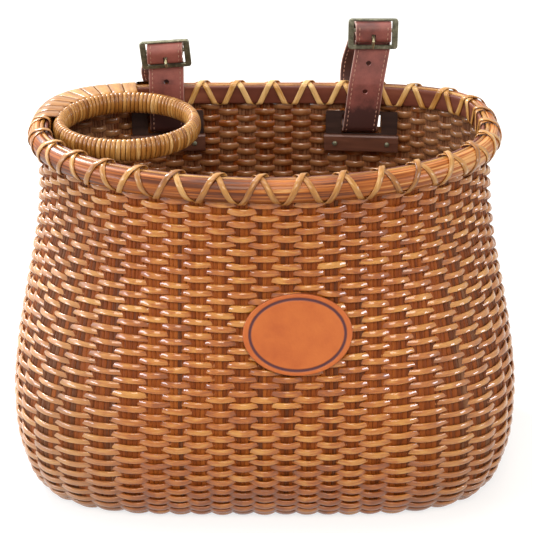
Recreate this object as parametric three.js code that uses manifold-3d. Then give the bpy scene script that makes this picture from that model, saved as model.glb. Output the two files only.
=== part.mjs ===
// Woven cane bicycle basket: lashed rim, cup ring, two buckled leather straps for a handlebar.
// Millimetres and degrees. +X is right, +Y is the back that hangs on the handlebar, +Z is up.
// The origin is on the underside of the base, below the widest line of the rim.
import * as THREE from "three";
import { mergeVertices } from "three/addons/utils/BufferGeometryUtils.js";
import Module from "manifold-3d";

const wasm = await Module();
wasm.setup();

// Basket body
const height = 240;
const clearance = 0.3;
const rim = { width: 318.5, front: 109, back: 84.5, frontPower: 2, backPower: 3.7 };
const belly = { width: 350, front: 138, back: 80, height: 62 };
const neckDrop = 31;
const base = { sideInset: 23, frontInset: 24, backInset: 25, frontPower: 4.5, rows: 6, flatMiddle: 30 };
const wall = { thickness: 5.8, proud: 2, relief: 2.6, flareRows: 16, turnRows: 6 };

// Rim: stake ends between two hoops, a filler reed on top of the stakes, two crossing lashings
const stakes = { thickness: 3, endThickness: 2.3, topDrop: 4 };
const outerHoop = { thickness: 7.2, height: 15, topDrop: 1, arcSteps: 6 };
const innerHoop = { thickness: 2.6, height: 13, topDrop: 1.6 };
const fillerSides = 4;
const lashing = { width: 3.3, thickness: 0.8, gap: 0.4, crossingGap: 0.45, phase: 20 };
const lashingCount = { pitches: 28, turns: 24, firstWindow: 20 };
const stationsPerPitch = { rim: 3, wall: 2 };
const window = { headroom: 0.9, depth: 4.4 };

// Cup ring in the left back corner
const ring = { innerRadius: 40.9, coreRadial: 6.7, coreTall: 12.7, segments: 36 };
const ringPlace = { drop: 6.5, y: 5.5, sideGap: 0.8 };
const whipping = { turns: 24, thickness: 0.9, gap: 0.4, spacing: 1.9, sides: 8, startAngle: 135 };
const binding = { turns: 8, width: 8.6, thickness: 0.9, gap: 0.45, spacing: 1.2, cornerReach: 1.12 };
const bindingMargin = { start: 16, end: 9 };

// Straps: the run from the slot up to the buckle, the loop behind the rim and the bends between them
const strap = { width: 25, thickness: 2.2, stub: 9, tail: 8.5, runGap: 2, slotGap: 1.4, foldGap: 0.2 };
const strapHole = { radius: 1.5, spacing: 20, sides: 10 };
const shoulder = { reach: 17, radius: 12 };
const rearRadius = 30;
const foot = { standOff: 7, rise: 13, radius: 12 };
const slotEntry = { standOff: 2, radius: 5 };
const slotTurnRadius = 4;
const runTop = { rise: 2, radius: 40 };
const thread = { gap: 0.4, lead: 2, leadRadius: 10, drop: 1.7, radius: 2 };
const bendStep = 22;
const bendShare = 0.49;

// Buckles: a frame with a heel bar between two openings, and a prong on the heel bar
const frame = { width: 35.2, thickness: 2.4, sideBar: 4.2, topRail: 1.6, tipBar: 3, opening: 9.5, corner: 2.4 };
const frameBevel = 0.45;
const heelBar = 2.4;
const prong = { radius: 1, eyeWidth: 2.6, eyeWall: 1, tipOverhang: 1.6, rootAngle: 215, sides: 8 };
const prongKnee = { inside: 1, rise: 0.2, outsideRise: 0.6 };
const prongSlot = { width: 3.4, top: 1.4, bottom: 8.8 };
const sides = [
  {
    name: "left",
    slotX: -70.8,
    strapX: -70.6,
    heel: { x: -70.4, lean: -4.5, rise: 28.3 },
    rear: { x: -80.5, standOff: 14, rise: 0 },
    tilt: 4,
    nod: 15,
    holes: 1,
  },
  {
    name: "right",
    slotX: 70.5,
    strapX: 68.9,
    heel: { x: 76.6, lean: 3, rise: 41 },
    rear: { x: 67.5, standOff: 16, rise: 4 },
    tilt: 0,
    nod: 0,
    holes: 2,
  },
];

// Slot plates, strap bars, tacks and badge
const slot = { width: 29, height: 14.5, bottomDrop: 36.7, wallMargin: 1 };
const plate = { width: 52, height: 17.2, thickness: 2, corner: 1.5, belowSlot: 0.5, standOff: 0.6 };
const bar = { width: 54, height: 12.5, thickness: 5, chamfer: 1 };
const tack = { radius: 1.9, height: 1.1, inset: 8, segments: 12, arcSteps: 3 };
const badge = { x: 21.6, z: 138.4, width: 69.4, height: 48.5, thickness: 2, standOff: 0.75 };
const badgeGrid = { rings: 3, segments: 28 };

// Sizes that follow from the ones above
const hoopCentreDrop = outerHoop.topDrop + outerHoop.height / 2;
const hoopBottomDrop = outerHoop.topDrop + outerHoop.height;
const innerBottomDrop = innerHoop.topDrop + innerHoop.height;
const windowTopDrop = innerBottomDrop + window.headroom;
const windowBottomDrop = hoopBottomDrop + window.depth;
const frontRunClearance = lashing.thickness + strap.runGap + strap.thickness / 2;
const foldRadius = heelBar * Math.SQRT1_2 + strap.foldGap + strap.thickness / 2;
const tongueRadius = foldRadius + strap.thickness + clearance;
const railBottom = tongueRadius + strap.thickness / 2 + clearance;
const tipTop = heelBar / 2 + frame.opening;
const eyeBore = heelBar * Math.SQRT1_2 + clearance;
const eyeOuter = eyeBore + prong.eyeWall;
const lastWindow = lashingCount.firstWindow + lashingCount.turns - lashingCount.pitches;
const deg = Math.PI / 180;
const weldDistance = 1e-4;
const tangentReach = 1;

const finishes = {
  weave: new THREE.MeshStandardMaterial({
    color: 0xb5763a,
    roughness: 0.45,
    metalness: 0,
    flatShading: true,
  }),
  cane: new THREE.MeshStandardMaterial({ color: 0xb5763a, roughness: 0.45, metalness: 0 }),
  hoop: new THREE.MeshStandardMaterial({ color: 0x9a5424, roughness: 0.35, metalness: 0 }),
  darkHoop: new THREE.MeshStandardMaterial({ color: 0x5a2c22, roughness: 0.5, metalness: 0 }),
  paleCane: new THREE.MeshStandardMaterial({ color: 0xc99a58, roughness: 0.4, metalness: 0 }),
  leather: new THREE.MeshStandardMaterial({ color: 0x7d4b46, roughness: 0.6, metalness: 0 }),
  brass: new THREE.MeshStandardMaterial({ color: 0x7a7658, roughness: 0.4, metalness: 1 }),
  darkWood: new THREE.MeshStandardMaterial({ color: 0x2b1d18, roughness: 0.6, metalness: 0 }),
  wood: new THREE.MeshStandardMaterial({ color: 0x54352a, roughness: 0.55, metalness: 0 }),
  tanLeather: new THREE.MeshStandardMaterial({ color: 0xcd6e3c, roughness: 0.65, metalness: 0 }),
};

const basket = new THREE.Group();

function addPiece(name, geometry, material, parent = basket) {
  const mesh = new THREE.Mesh(geometry, material.clone());
  mesh.name = name;
  parent.add(mesh);
  return mesh;
}

// Closed outline in plan, rounder in front than at the back, measured by arc length from the middle
// of the front, counter-clockwise. Quarter marks let outlines of other sizes share one spacing.
class PlanLoop {
  static quarterSteps = 240;

  constructor({ half, front, back, frontPower, backPower }) {
    const steps = PlanLoop.quarterSteps;
    this.points = [];
    this.lengths = [0];
    for (let i = 0; i <= 4 * steps; i += 1) {
      const turn = ((i / steps) * Math.PI) / 2 - Math.PI / 2;
      const inFront = i < steps || i > 3 * steps;
      const power = inFront ? frontPower : backPower;
      const x = half * signedPower(Math.cos(turn), 2 / power);
      const y = (inFront ? front : back) * signedPower(Math.sin(turn), 2 / power);
      this.points.push(new THREE.Vector2(x, y));
      if (i > 0) this.lengths.push(this.lengths[i - 1] + this.points[i].distanceTo(this.points[i - 1]));
    }
    this.length = this.lengths[4 * steps];
    this.right = this.lengths[steps];
    this.left = this.lengths[3 * steps];
  }

  at(station) {
    const s = ((station % this.length) + this.length) % this.length;
    let low = 0;
    let high = this.lengths.length - 1;
    while (high - low > 1) {
      const middle = (low + high) >> 1;
      if (this.lengths[middle] <= s) low = middle;
      else high = middle;
    }
    const share = (s - this.lengths[low]) / (this.lengths[high] - this.lengths[low]);
    return this.points[low].clone().lerp(this.points[high], share);
  }

  normal(station) {
    const along = this.at(station + tangentReach).sub(this.at(station - tangentReach)).normalize();
    return new THREE.Vector2(along.y, -along.x);
  }

  // Quarter share of a station: 0 to 1 front right, 1 to 3 back, 3 to 4 front left
  shareOf(station) {
    const s = ((station % this.length) + this.length) % this.length;
    if (s <= this.right) return s / this.right;
    if (s <= this.left) return 1 + (2 * (s - this.right)) / (this.left - this.right);
    return 3 + (s - this.left) / (this.length - this.left);
  }

  stationOf(share) {
    if (share <= 1) return share * this.right;
    if (share <= 3) return this.right + ((share - 1) / 2) * (this.left - this.right);
    return this.left + (share - 3) * (this.length - this.left);
  }
}

function signedPower(value, power) {
  return Math.sign(value) * Math.abs(value) ** power;
}

// Geometry from points and triangles
function solidFrom(points, triangles) {
  const geometry = new THREE.BufferGeometry();
  const flat = points.flatMap((p) => [p.x, p.y, p.z]);
  geometry.setAttribute("position", new THREE.Float32BufferAttribute(flat, 3));
  geometry.setIndex(triangles.flat());
  return geometry;
}

// Two triangles over four corners, split between the first and third or between the second and fourth
function splitQuad([a, b, c, d], otherWay) {
  return otherWay ? [[a, b, d], [b, c, d]] : [[a, b, c], [a, c, d]];
}

// Plain weave: a row lies in front of a stake where their numbers add up even, behind it where odd
function inFront(row, column) {
  return (row + column) % 2 === 0;
}

// Rings of points joined into one body: round to the first ring again, or with flat end caps
function loft(rings, closed, otherWay = () => false) {
  const count = rings[0].length;
  const triangles = [];
  const spans = closed ? rings.length : rings.length - 1;
  for (let i = 0; i < spans; i += 1) {
    const here = i * count;
    const next = ((i + 1) % rings.length) * count;
    for (let j = 0; j < count; j += 1) {
      const k = (j + 1) % count;
      triangles.push(...splitQuad([here + j, here + k, next + k, next + j], otherWay(i, j)));
    }
  }
  if (!closed) {
    const last = (rings.length - 1) * count;
    for (let j = 1; j < count - 1; j += 1) {
      triangles.push([0, j + 1, j], [last, last + j, last + j + 1]);
    }
  }
  return solidFrom(rings.flat(), triangles);
}

// Sheet between two grids of points, closed round the stations, with the cells left out that keep refuses
function thickSheet(outer, inner, keep) {
  const rows = outer.length;
  const columns = outer[0].length;
  const offset = rows * columns;
  const id = (row, column) => row * columns + (column % columns);
  const kept = (row, column) => row >= 0 && row < rows - 1 && keep(row, (column + columns) % columns);
  const triangles = [];
  const quad = (corners, otherWay) => triangles.push(...splitQuad(corners, otherWay));
  for (let row = 0; row < rows - 1; row += 1) {
    for (let column = 0; column < columns; column += 1) {
      if (!kept(row, column)) continue;
      const corners = [id(row, column), id(row + 1, column), id(row + 1, column + 1), id(row, column + 1)];
      quad(corners, inFront(row, column));
      quad(corners.map((corner) => corner + offset).reverse(), !inFront(row, column));
      const beside = [[row, column - 1], [row + 1, column], [row, column + 1], [row - 1, column]];
      beside.forEach(([nextRow, nextColumn], edge) => {
        const a = corners[edge];
        const b = corners[(edge + 1) % 4];
        if (!kept(nextRow, nextColumn)) quad([b, a, a + offset, b + offset], false);
      });
    }
  }
  const geometry = solidFrom([...outer.flat(), ...inner.flat()], triangles);
  return mergeVertices(geometry.toNonIndexed(), weldDistance);
}

// Booleans on closed bodies
function toManifold(geometry) {
  const bare = geometry.clone();
  bare.deleteAttribute("normal");
  bare.deleteAttribute("uv");
  const merged = mergeVertices(bare, weldDistance);
  const vertProperties = new Float32Array(merged.attributes.position.array);
  const triVerts = new Uint32Array(merged.index.array);
  return new wasm.Manifold(new wasm.Mesh({ numProp: 3, vertProperties, triVerts }));
}

function fromManifold(solid) {
  const mesh = solid.getMesh();
  const geometry = new THREE.BufferGeometry();
  geometry.setAttribute("position", new THREE.BufferAttribute(mesh.vertProperties.slice(), 3));
  geometry.setIndex(new THREE.BufferAttribute(mesh.triVerts.slice(), 1));
  return geometry;
}

function cut(geometry, cutters) {
  const solid = cutters.reduce((left, cutter) => left.subtract(toManifold(cutter)), toManifold(geometry));
  return fromManifold(solid);
}

// Flat strip along points: at each one the fold line across the strip and the side that faces out are known
function strip(points, folds, facing, widths, thickness) {
  const rings = points.map((point, i) => {
    const before = points[Math.max(i - 1, 0)];
    const after = points[Math.min(i + 1, points.length - 1)];
    const along = after.clone().sub(before).normalize();
    const side = Math.sign(folds[i].clone().cross(facing[i]).dot(along));
    const slant = Math.sqrt(1 - folds[i].dot(along) ** 2);
    const across = folds[i].clone().multiplyScalar((side * widths[i]) / slant / 2);
    const out = facing[i].clone().multiplyScalar(thickness / 2);
    const corner = (a, b) => point.clone().addScaledVector(across, a).addScaledVector(out, b);
    return [corner(-1, -1), corner(1, -1), corner(1, 1), corner(-1, 1)];
  });
  return { rings, geometry: loft(rings, false) };
}

// Least distance from the points of one turn of a strip to those of the next
function leastGap(rings, stepsPerTurn) {
  const samples = 4;
  const edgePoints = (i, corner) => {
    const next = rings[Math.min(i + 1, rings.length - 1)];
    const at = (k) => rings[i][corner].clone().lerp(next[corner], k / samples);
    return Array.from({ length: samples }, (_, k) => at(k));
  };
  const near = stepsPerTurn >> 1;
  let least = Infinity;
  for (let i = 0; i < rings.length; i += 1) {
    const mine = [0, 1, 2, 3].flatMap((corner) => edgePoints(i, corner));
    for (let j = i + near; j <= Math.min(i + 3 * near, rings.length - 1); j += 1) {
      const other = [0, 1, 2, 3].flatMap((corner) => edgePoints(j, corner));
      for (const a of mine) for (const b of other) least = Math.min(least, a.distanceTo(b));
    }
  }
  return least;
}

function reportGap(name, rings, stepsPerTurn) {
  console.log(`${name}: least gap to itself ${leastGap(rings, stepsPerTurn).toFixed(2)} mm`);
}

// Outline of the outer face of the stakes at the rim, which every rim piece is offset from
const hoopReach = outerHoop.thickness + clearance;
const rimShape = {
  half: rim.width / 2 - hoopReach,
  front: rim.front - hoopReach,
  back: rim.back - hoopReach,
  frontPower: rim.frontPower,
  backPower: rim.backPower,
};
const rimLoop = new PlanLoop(rimShape);
const pitch = rimLoop.length / lashingCount.pitches;

function rimPoint(station, out, drop) {
  const p = rimLoop.at(station).addScaledVector(rimLoop.normal(station), out);
  return new THREE.Vector3(p.x, p.y, height - drop);
}

function windowStation(index) {
  return lashing.phase + index * pitch;
}

// Even stations round the rim, from the first edge of the first window, which is one wall station wide
function evenStations(perPitch) {
  const count = lashingCount.pitches * perPitch;
  const start = windowStation(0) - pitch / stationsPerPitch.wall / 2;
  return Array.from({ length: count }, (_, i) => start + (i * pitch) / perPitch);
}

// The wall has one station to a stake: the edges of the windows
const rimStations = evenStations(stationsPerPitch.rim);
const wallStations = evenStations(stationsPerPitch.wall);
const wallShares = wallStations.map((station) => rimLoop.shareOf(station));

// Woven wall: outline at a height above the belly, grown or shrunk by out
function wallShape(z, out) {
  const span = height - neckDrop - belly.height;
  const fall = THREE.MathUtils.clamp((height - neckDrop - z) / span, 0, 1);
  const flare = fall * fall * (3 - 2 * fall);
  const depth = THREE.MathUtils.clamp((height - neckDrop - z) / (height - neckDrop), 0, 1);
  const neck = wall.proud;
  return {
    half: THREE.MathUtils.lerp(rimShape.half + neck, belly.width / 2, flare) + out,
    front: THREE.MathUtils.lerp(rimShape.front + neck, belly.front, flare) + out,
    back: THREE.MathUtils.lerp(rimShape.back + neck, belly.back, flare) + out,
    frontPower: THREE.MathUtils.lerp(rim.frontPower, base.frontPower, depth),
    backPower: rim.backPower,
  };
}

// Outline in the bottom turn, a quarter of an oval from the belly in to the base; angle 0 is the belly
function turnShape(angle, out) {
  const inset = 1 - Math.cos(angle);
  const z = belly.height * (1 - Math.sin(angle));
  const shape = wallShape(Math.min(z, belly.height), 0);
  return {
    ...shape,
    half: shape.half - (base.sideInset + out) * inset + out,
    front: shape.front - (base.frontInset + out) * inset + out,
    back: shape.back - (base.backInset + out) * inset + out,
  };
}

function levelRing(shape, z) {
  const loop = new PlanLoop(shape);
  return wallShares.map((share) => {
    const p = loop.at(loop.stationOf(share));
    return new THREE.Vector3(p.x, p.y, z);
  });
}

function stakeRing(out, drop) {
  return wallStations.map((station) => rimPoint(station, out, drop));
}

// Height of the bottom turn at an angle, for the outer face or a face inside it
function turnZ(angle, out) {
  return belly.height - (belly.height + out) * Math.sin(angle);
}

// One row of the weave on a face: the full face where the row lies in front of a stake, set in where behind
function weaveRing(row, out, ringAt) {
  const front = ringAt(out);
  const behind = ringAt(out - wall.relief);
  return front.map((point, column) => (inFront(row, column) ? point : behind[column]));
}

// Rings of the wall from the windows down: flare, then bottom turn, each a function of out
function wallRows() {
  const flareTop = height - windowBottomDrop;
  const rows = [];
  for (let row = 0; row <= wall.flareRows; row += 1) {
    const z = THREE.MathUtils.lerp(flareTop, belly.height, row / wall.flareRows);
    rows.push((out) => levelRing(wallShape(z, out), z));
  }
  for (let row = 1; row <= wall.turnRows; row += 1) {
    const angle = ((row / wall.turnRows) * Math.PI) / 2;
    rows.push((out) => levelRing(turnShape(angle, out), turnZ(angle, out)));
  }
  return rows;
}

// Stake ends and windows at the top, the weave below; the weave's first and last rows lie flat
function makeWall() {
  const bandDrops = [stakes.topDrop, windowTopDrop, hoopBottomDrop + 2 * clearance];
  const outer = bandDrops.map((drop) => stakeRing(0, drop));
  const inner = bandDrops.map((drop) => stakeRing(-stakes.endThickness, drop));
  const rows = wallRows();
  rows.forEach((ringAt, i) => {
    const flat = i === 0 || i === rows.length - 1;
    const row = outer.length;
    outer.push(flat ? ringAt(0) : weaveRing(row, 0, ringAt));
    inner.push(flat ? ringAt(-wall.thickness) : weaveRing(row, wall.relief - wall.thickness, ringAt));
  });
  const windowRows = bandDrops.length;
  const keep = (row, column) => {
    if (row >= windowRows) return true;
    const index = Math.floor(column / stationsPerPitch.wall);
    const isWindow = column % stationsPerPitch.wall === 0;
    const inBinding = isWindow
      ? index > lastWindow && index < lashingCount.firstWindow
      : index >= lastWindow && index < lashingCount.firstWindow;
    if (inBinding) return false;
    return !(isWindow && row > 0);
  };
  return thickSheet(outer, inner, keep);
}

// Base: flat below, the weave on top in rows that close in on a flat middle
function makeBase() {
  const shape = turnShape(Math.PI / 2, 0);
  const edge = levelRing(shape, 0);
  const flatRing = (share, z) => edge.map((p) => {
    const scale = share * (1 - clearance / Math.hypot(p.x, p.y));
    return new THREE.Vector3(p.x * scale, p.y * scale, z);
  });
  const rings = [flatRing(1, 0)];
  for (let row = 0; row <= base.rows; row += 1) {
    const share = THREE.MathUtils.lerp(1, base.flatMiddle / shape.half, row / base.rows);
    const flat = row === 0 || row === base.rows;
    const ringAt = (out) => flatRing(share, wall.thickness + out);
    rings.push(flat ? ringAt(0) : weaveRing(rings.length, 0, ringAt));
  }
  return loft(rings, false, inFront);
}

// Rim hoops and filler reed: profiles of [out, drop] carried round the stations
function carryRound(profile) {
  return loft(rimStations.map((station) => profile.map(([out, drop]) => rimPoint(station, out, drop))), true);
}

function hoopOval(grow) {
  const oval = [];
  for (let i = 0; i <= outerHoop.arcSteps; i += 1) {
    const angle = Math.PI / 2 - (i / outerHoop.arcSteps) * Math.PI;
    const out = clearance + (outerHoop.thickness + grow) * Math.cos(angle);
    const drop = hoopCentreDrop - (outerHoop.height / 2 + grow) * Math.sin(angle);
    oval.push([out, drop]);
  }
  return oval;
}

const innerFace = -(stakes.thickness + clearance + innerHoop.thickness);

function innerHoopProfile() {
  const back = -(stakes.thickness + clearance);
  return [
    [back, innerHoop.topDrop],
    [back, innerBottomDrop],
    [innerFace, innerBottomDrop],
    [innerFace, innerHoop.topDrop],
  ];
}

const fillerRadius = stakes.thickness / 2;
const fillerDrop = stakes.topDrop - clearance - fillerRadius;

function fillerProfile() {
  return Array.from({ length: fillerSides }, (_, i) => {
    const angle = Math.PI / 2 - (i / fillerSides) * 2 * Math.PI;
    return [-fillerRadius + fillerRadius * Math.cos(angle), fillerDrop - fillerRadius * Math.sin(angle)];
  });
}

// Windings: a loop of [out, drop] round the rim section, walked while the station moves on by a pitch.
// Half the pitch is spent from the top of the loop to its bottom point, the other half on the way up.
function loopShares(loop, bottom) {
  const passed = [0];
  loop.forEach(([out, drop], i) => {
    const next = loop[(i + 1) % loop.length];
    passed.push(passed[i] + Math.hypot(next[0] - out, next[1] - drop));
  });
  const down = passed[bottom];
  const up = passed[loop.length] - down;
  return loop.map((_, i) => (i <= bottom ? passed[i] / down : 1 + (passed[i] - down) / up) / 2);
}

// Outward side of a loop at one of its points, as [out, drop]
function loopFacing(loop, i) {
  const [a, b] = [loop[(i + loop.length - 1) % loop.length], loop[(i + 1) % loop.length]];
  const along = new THREE.Vector2(b[0] - a[0], b[1] - a[1]).normalize();
  return [along.y, -along.x];
}

function rimFacing(station, [out, drop]) {
  const n = rimLoop.normal(station);
  return new THREE.Vector3(n.x * out, n.y * out, -drop);
}

// One lashing strip from window to window; lift raises it where the two strips cross
function lashingLoop(lift) {
  const offset = lashing.gap + lashing.thickness / 2;
  const middle = -stakes.thickness / 2;
  const inside = innerFace - offset;
  const ovalOffset = offset / Math.cos(Math.PI / outerHoop.arcSteps / 2);
  const flat = hoopOval(ovalOffset).slice(1, -1);
  const raised = hoopOval(ovalOffset + lift).slice(1, -1);
  const outside = [raised[0], ...flat.slice(1, -1), raised.at(-1)];
  return [
    [middle, fillerDrop - fillerRadius - offset - lift],
    ...outside,
    [middle, hoopBottomDrop + 2 * offset + lift],
    [inside, innerBottomDrop + offset + lift],
    [inside, innerHoop.topDrop - offset - lift],
  ];
}

// Direction of the fold line of a loop point: the way it moves as the station moves on
function foldLine(place, station, i) {
  return place(station + tangentReach, i).sub(place(station - tangentReach, i)).normalize();
}

function makeLashing(name, lift, direction) {
  const loop = lashingLoop(lift);
  const bottom = outerHoop.arcSteps;
  const shareList = loopShares(loop, bottom);
  const place = (station, i) => rimPoint(station, ...loop[i]);
  const points = [];
  const folds = [];
  const facing = [];
  const start = windowStation(lashingCount.firstWindow);
  for (let step = 0; step <= lashingCount.turns * loop.length; step += 1) {
    const walk = bottom + direction * step;
    const i = ((walk % loop.length) + loop.length) % loop.length;
    const turn = Math.floor(walk / loop.length);
    const station = start + pitch * direction * (turn + shareList[i] - 0.5);
    points.push(place(station, i));
    folds.push(foldLine(place, station, i));
    facing.push(rimFacing(station, loopFacing(loop, i)));
  }
  const made = strip(points, folds, facing, points.map(() => lashing.width), lashing.thickness);
  reportGap(name, made.rings, loop.length);
  return made.geometry;
}

// Cup ring
const ringRadius = ring.innerRadius + whipping.thickness + whipping.gap + ring.coreRadial / 2;
const ringZ = height - ringPlace.drop;
const ringOuter = ringRadius + ring.coreRadial / 2 + whipping.gap + whipping.thickness;
const ringX = ringOuter + ringPlace.sideGap + lashing.gap + lashing.thickness - innerFace - rimShape.half;

function ringSection(grow) {
  const tight = 1 / Math.cos(Math.PI / whipping.sides);
  return Array.from({ length: whipping.sides }, (_, i) => {
    const angle = (i / whipping.sides) * 2 * Math.PI;
    const radial = (ring.coreRadial / 2 + grow * tight) * Math.cos(angle);
    return new THREE.Vector2(ringRadius + radial, (ring.coreTall / 2 + grow * tight) * Math.sin(angle));
  });
}

function makeRingCore() {
  const section = ringSection(0);
  return new THREE.LatheGeometry([...section, section[0]], ring.segments);
}

function makeWhipping() {
  const grow = whipping.gap + whipping.thickness / 2;
  const section = ringSection(grow);
  const pitchAngle = (2 * Math.PI) / (whipping.turns + 0.5);
  const points = [];
  const folds = [];
  const facing = [];
  const widths = [];
  for (let step = 0; step <= whipping.turns * whipping.sides; step += 1) {
    const i = step % whipping.sides;
    const angle = whipping.startAngle * deg + (step / whipping.sides) * pitchAngle;
    const { x: radius, y: rise } = section[i];
    const out = new THREE.Vector3(Math.cos(angle), Math.sin(angle), 0);
    points.push(new THREE.Vector3(ringX, ringPlace.y, ringZ + rise).addScaledVector(out, radius));
    folds.push(new THREE.Vector3(-Math.sin(angle), Math.cos(angle), 0));
    facing.push(new THREE.Vector3(0, 0, rise).addScaledVector(out, radius - ringRadius).normalize());
    widths.push(radius * pitchAngle - whipping.spacing);
  }
  const made = strip(points, folds, facing, widths, whipping.thickness);
  reportGap("cup_ring_whipping", made.rings, whipping.sides);
  return made.geometry;
}

// Distance inwards from the stakes' outer face to the middle of the ring's bar, square to the rim
function ringDistance(station) {
  const p = rimLoop.at(station).sub(new THREE.Vector2(ringX, ringPlace.y));
  const n = rimLoop.normal(station);
  const along = p.dot(n);
  return along - Math.sqrt(along * along - p.lengthSq() + ringRadius * ringRadius);
}

// Binding loop round the rim and the ring's bar together
function bindingLoop(station) {
  const offset = binding.gap + binding.thickness / 2;
  const cover = whipping.gap + whipping.thickness + offset;
  const radial = ring.coreRadial / 2 + cover;
  const tall = ring.coreTall / 2 + cover;
  const centre = -ringDistance(station);
  const middle = -stakes.thickness / 2;
  const ovalOffset = offset / Math.cos(Math.PI / outerHoop.arcSteps / 2);
  const atRing = (angle) => [
    centre - radial * binding.cornerReach * Math.cos(angle * deg),
    ringPlace.drop - tall * binding.cornerReach * Math.sin(angle * deg),
  ];
  return [
    [middle, fillerDrop - fillerRadius - 2 * offset],
    ...hoopOval(ovalOffset).slice(1, -1),
    [middle, hoopBottomDrop + 2 * offset],
    atRing(-90),
    atRing(-45),
    atRing(0),
    atRing(45),
    atRing(90),
  ];
}

function makeBinding() {
  const start = windowStation(lastWindow) + bindingMargin.start;
  const end = windowStation(lashingCount.firstWindow) - bindingMargin.end;
  const step = (end - start) / binding.turns;
  const place = (station, i) => rimPoint(station, ...bindingLoop(station)[i]);
  const count = bindingLoop(start).length;
  const shareList = loopShares(bindingLoop(start), outerHoop.arcSteps);
  const points = [];
  const folds = [];
  const facing = [];
  const widths = [];
  for (let k = 0; k <= binding.turns * count; k += 1) {
    const i = k % count;
    const station = start + step * (Math.floor(k / count) + shareList[i]);
    points.push(place(station, i));
    folds.push(foldLine(place, station, i));
    facing.push(rimFacing(station, loopFacing(bindingLoop(station), i)));
    const local = place(station + step / 2, i).distanceTo(place(station - step / 2, i));
    widths.push(Math.min(binding.width, local - binding.spacing));
  }
  const made = strip(points, folds, facing, widths, binding.thickness);
  reportGap("cup_ring_binding", made.rings, count);
  return made.geometry;
}

// Straps: waypoints with a bend radius each, joined by arcs, carry a flat section across X
function bend(waypoints) {
  const path = [waypoints[0]];
  for (let i = 1; i < waypoints.length - 1; i += 1) {
    const { at: corner, radius, tilt } = waypoints[i];
    const back = waypoints[i - 1].at.clone().sub(corner);
    const ahead = waypoints[i + 1].at.clone().sub(corner);
    const reach = Math.min(back.length(), ahead.length()) * bendShare;
    back.normalize();
    ahead.normalize();
    const turn = Math.PI - back.angleTo(ahead);
    const tangent = Math.min(radius * Math.tan(turn / 2), reach);
    const start = corner.clone().addScaledVector(back, tangent);
    const end = corner.clone().addScaledVector(ahead, tangent);
    const centre = corner.clone().addScaledVector(
      back.clone().add(ahead).normalize(),
      tangent / Math.tan(turn / 2) / Math.cos(turn / 2),
    );
    const count = Math.max(1, Math.ceil(turn / (bendStep * deg)));
    const [from, to] = [start.clone().sub(centre), end.clone().sub(centre)];
    for (let k = 0; k <= count; k += 1) {
      const share = k / count;
      const spread = Math.sin(turn);
      const arm = from.clone().multiplyScalar(Math.sin((1 - share) * turn) / spread)
        .addScaledVector(to, Math.sin(share * turn) / spread);
      path.push({ at: centre.clone().add(arm), tilt });
    }
  }
  path.push(waypoints.at(-1));
  return path;
}

const slotZ = height - slot.bottomDrop;
const strapZ = slotZ + strap.thickness / 2 + strap.slotGap;

// Middle of the inner run of a strap: just clear of the lashing on the inner hoop
function frontRunY(side) {
  const middle = wallBackAt(side.slotX);
  return middle + innerFace - frontRunClearance;
}

// Depth of the stakes' outer face at the back of the rim
function wallBackAt(x) {
  return rimShape.back * (1 - (Math.abs(x) / rimShape.half) ** rim.backPower) ** (1 / rim.backPower);
}

// Axis of the heel bar of a buckle
function heelOf(side) {
  return new THREE.Vector3(side.heel.x, frontRunY(side) + side.heel.lean, height + side.heel.rise);
}

// Attitude of a buckle: its heel bar tilted to the side, its top nodding to the front
function buckleTurn(side) {
  return new THREE.Euler(side.nod * deg, -side.tilt * deg, 0, "YXZ");
}

function strapWaypoints(side) {
  const heel = heelOf(side);
  const { rear, strapX } = side;
  const run = frontRunY(side);
  const behindTip = frame.thickness / 2 + thread.gap + strap.thickness / 2;
  const hoopBack = wallBackAt(side.slotX) + hoopReach + lashing.gap + lashing.thickness;
  const from = (x, y, z, radius, tilt = 0) => ({ at: new THREE.Vector3(x, y, z), radius, tilt });
  const atHeel = (y, z, radius) => {
    const turned = new THREE.Vector3(0, y, z).applyEuler(new THREE.Euler(side.nod * deg, 0, 0));
    return from(heel.x, heel.y + turned.y, heel.z + turned.z, radius, side.tilt);
  };
  const topZ = height + runTop.rise;
  const topX = THREE.MathUtils.lerp(strapX, heel.x, (topZ - strapZ) / (heel.z - strapZ));
  return [
    atHeel(strap.stub, -foldRadius, 0),
    atHeel(-foldRadius, -foldRadius, foldRadius),
    atHeel(-foldRadius, foldRadius, foldRadius),
    atHeel(shoulder.reach, foldRadius, shoulder.radius),
    from(rear.x, hoopBack + rear.standOff, height + rear.rise, rearRadius),
    from(strapX, hoopBack + foot.standOff, strapZ + foot.rise, foot.radius),
    from(strapX, hoopBack + slotEntry.standOff, strapZ, slotEntry.radius),
    from(strapX, run, strapZ, slotTurnRadius),
    from(topX, run, topZ, runTop.radius),
    atHeel(behindTip, -tipTop - frame.tipBar - thread.lead, thread.leadRadius),
    atHeel(behindTip, -tipTop + thread.drop, thread.radius),
    atHeel(-tongueRadius, -2 * foldRadius, thread.radius),
    atHeel(-tongueRadius, tongueRadius, tongueRadius),
    atHeel(strap.tail, tongueRadius, 0),
  ];
}

function makeStrap(side) {
  const path = bend(strapWaypoints(side));
  const rings = path.map(({ at, tilt }, i) => {
    const before = path[Math.max(i - 1, 0)].at;
    const after = path[Math.min(i + 1, path.length - 1)].at;
    const along = new THREE.Vector2(after.y - before.y, after.z - before.z).normalize();
    const corner = (across, face) => {
      const x = (across * strap.width) / 2;
      const y = at.y - (along.y * face * strap.thickness) / 2;
      const z = at.z + (along.x * face * strap.thickness) / 2 + x * Math.tan(tilt * deg);
      return new THREE.Vector3(at.x + x, y, z);
    };
    return [corner(-1, -1), corner(1, -1), corner(1, 1), corner(-1, 1)].reverse();
  });
  return cut(loft(rings, false), strapCutters(side));
}

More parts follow.
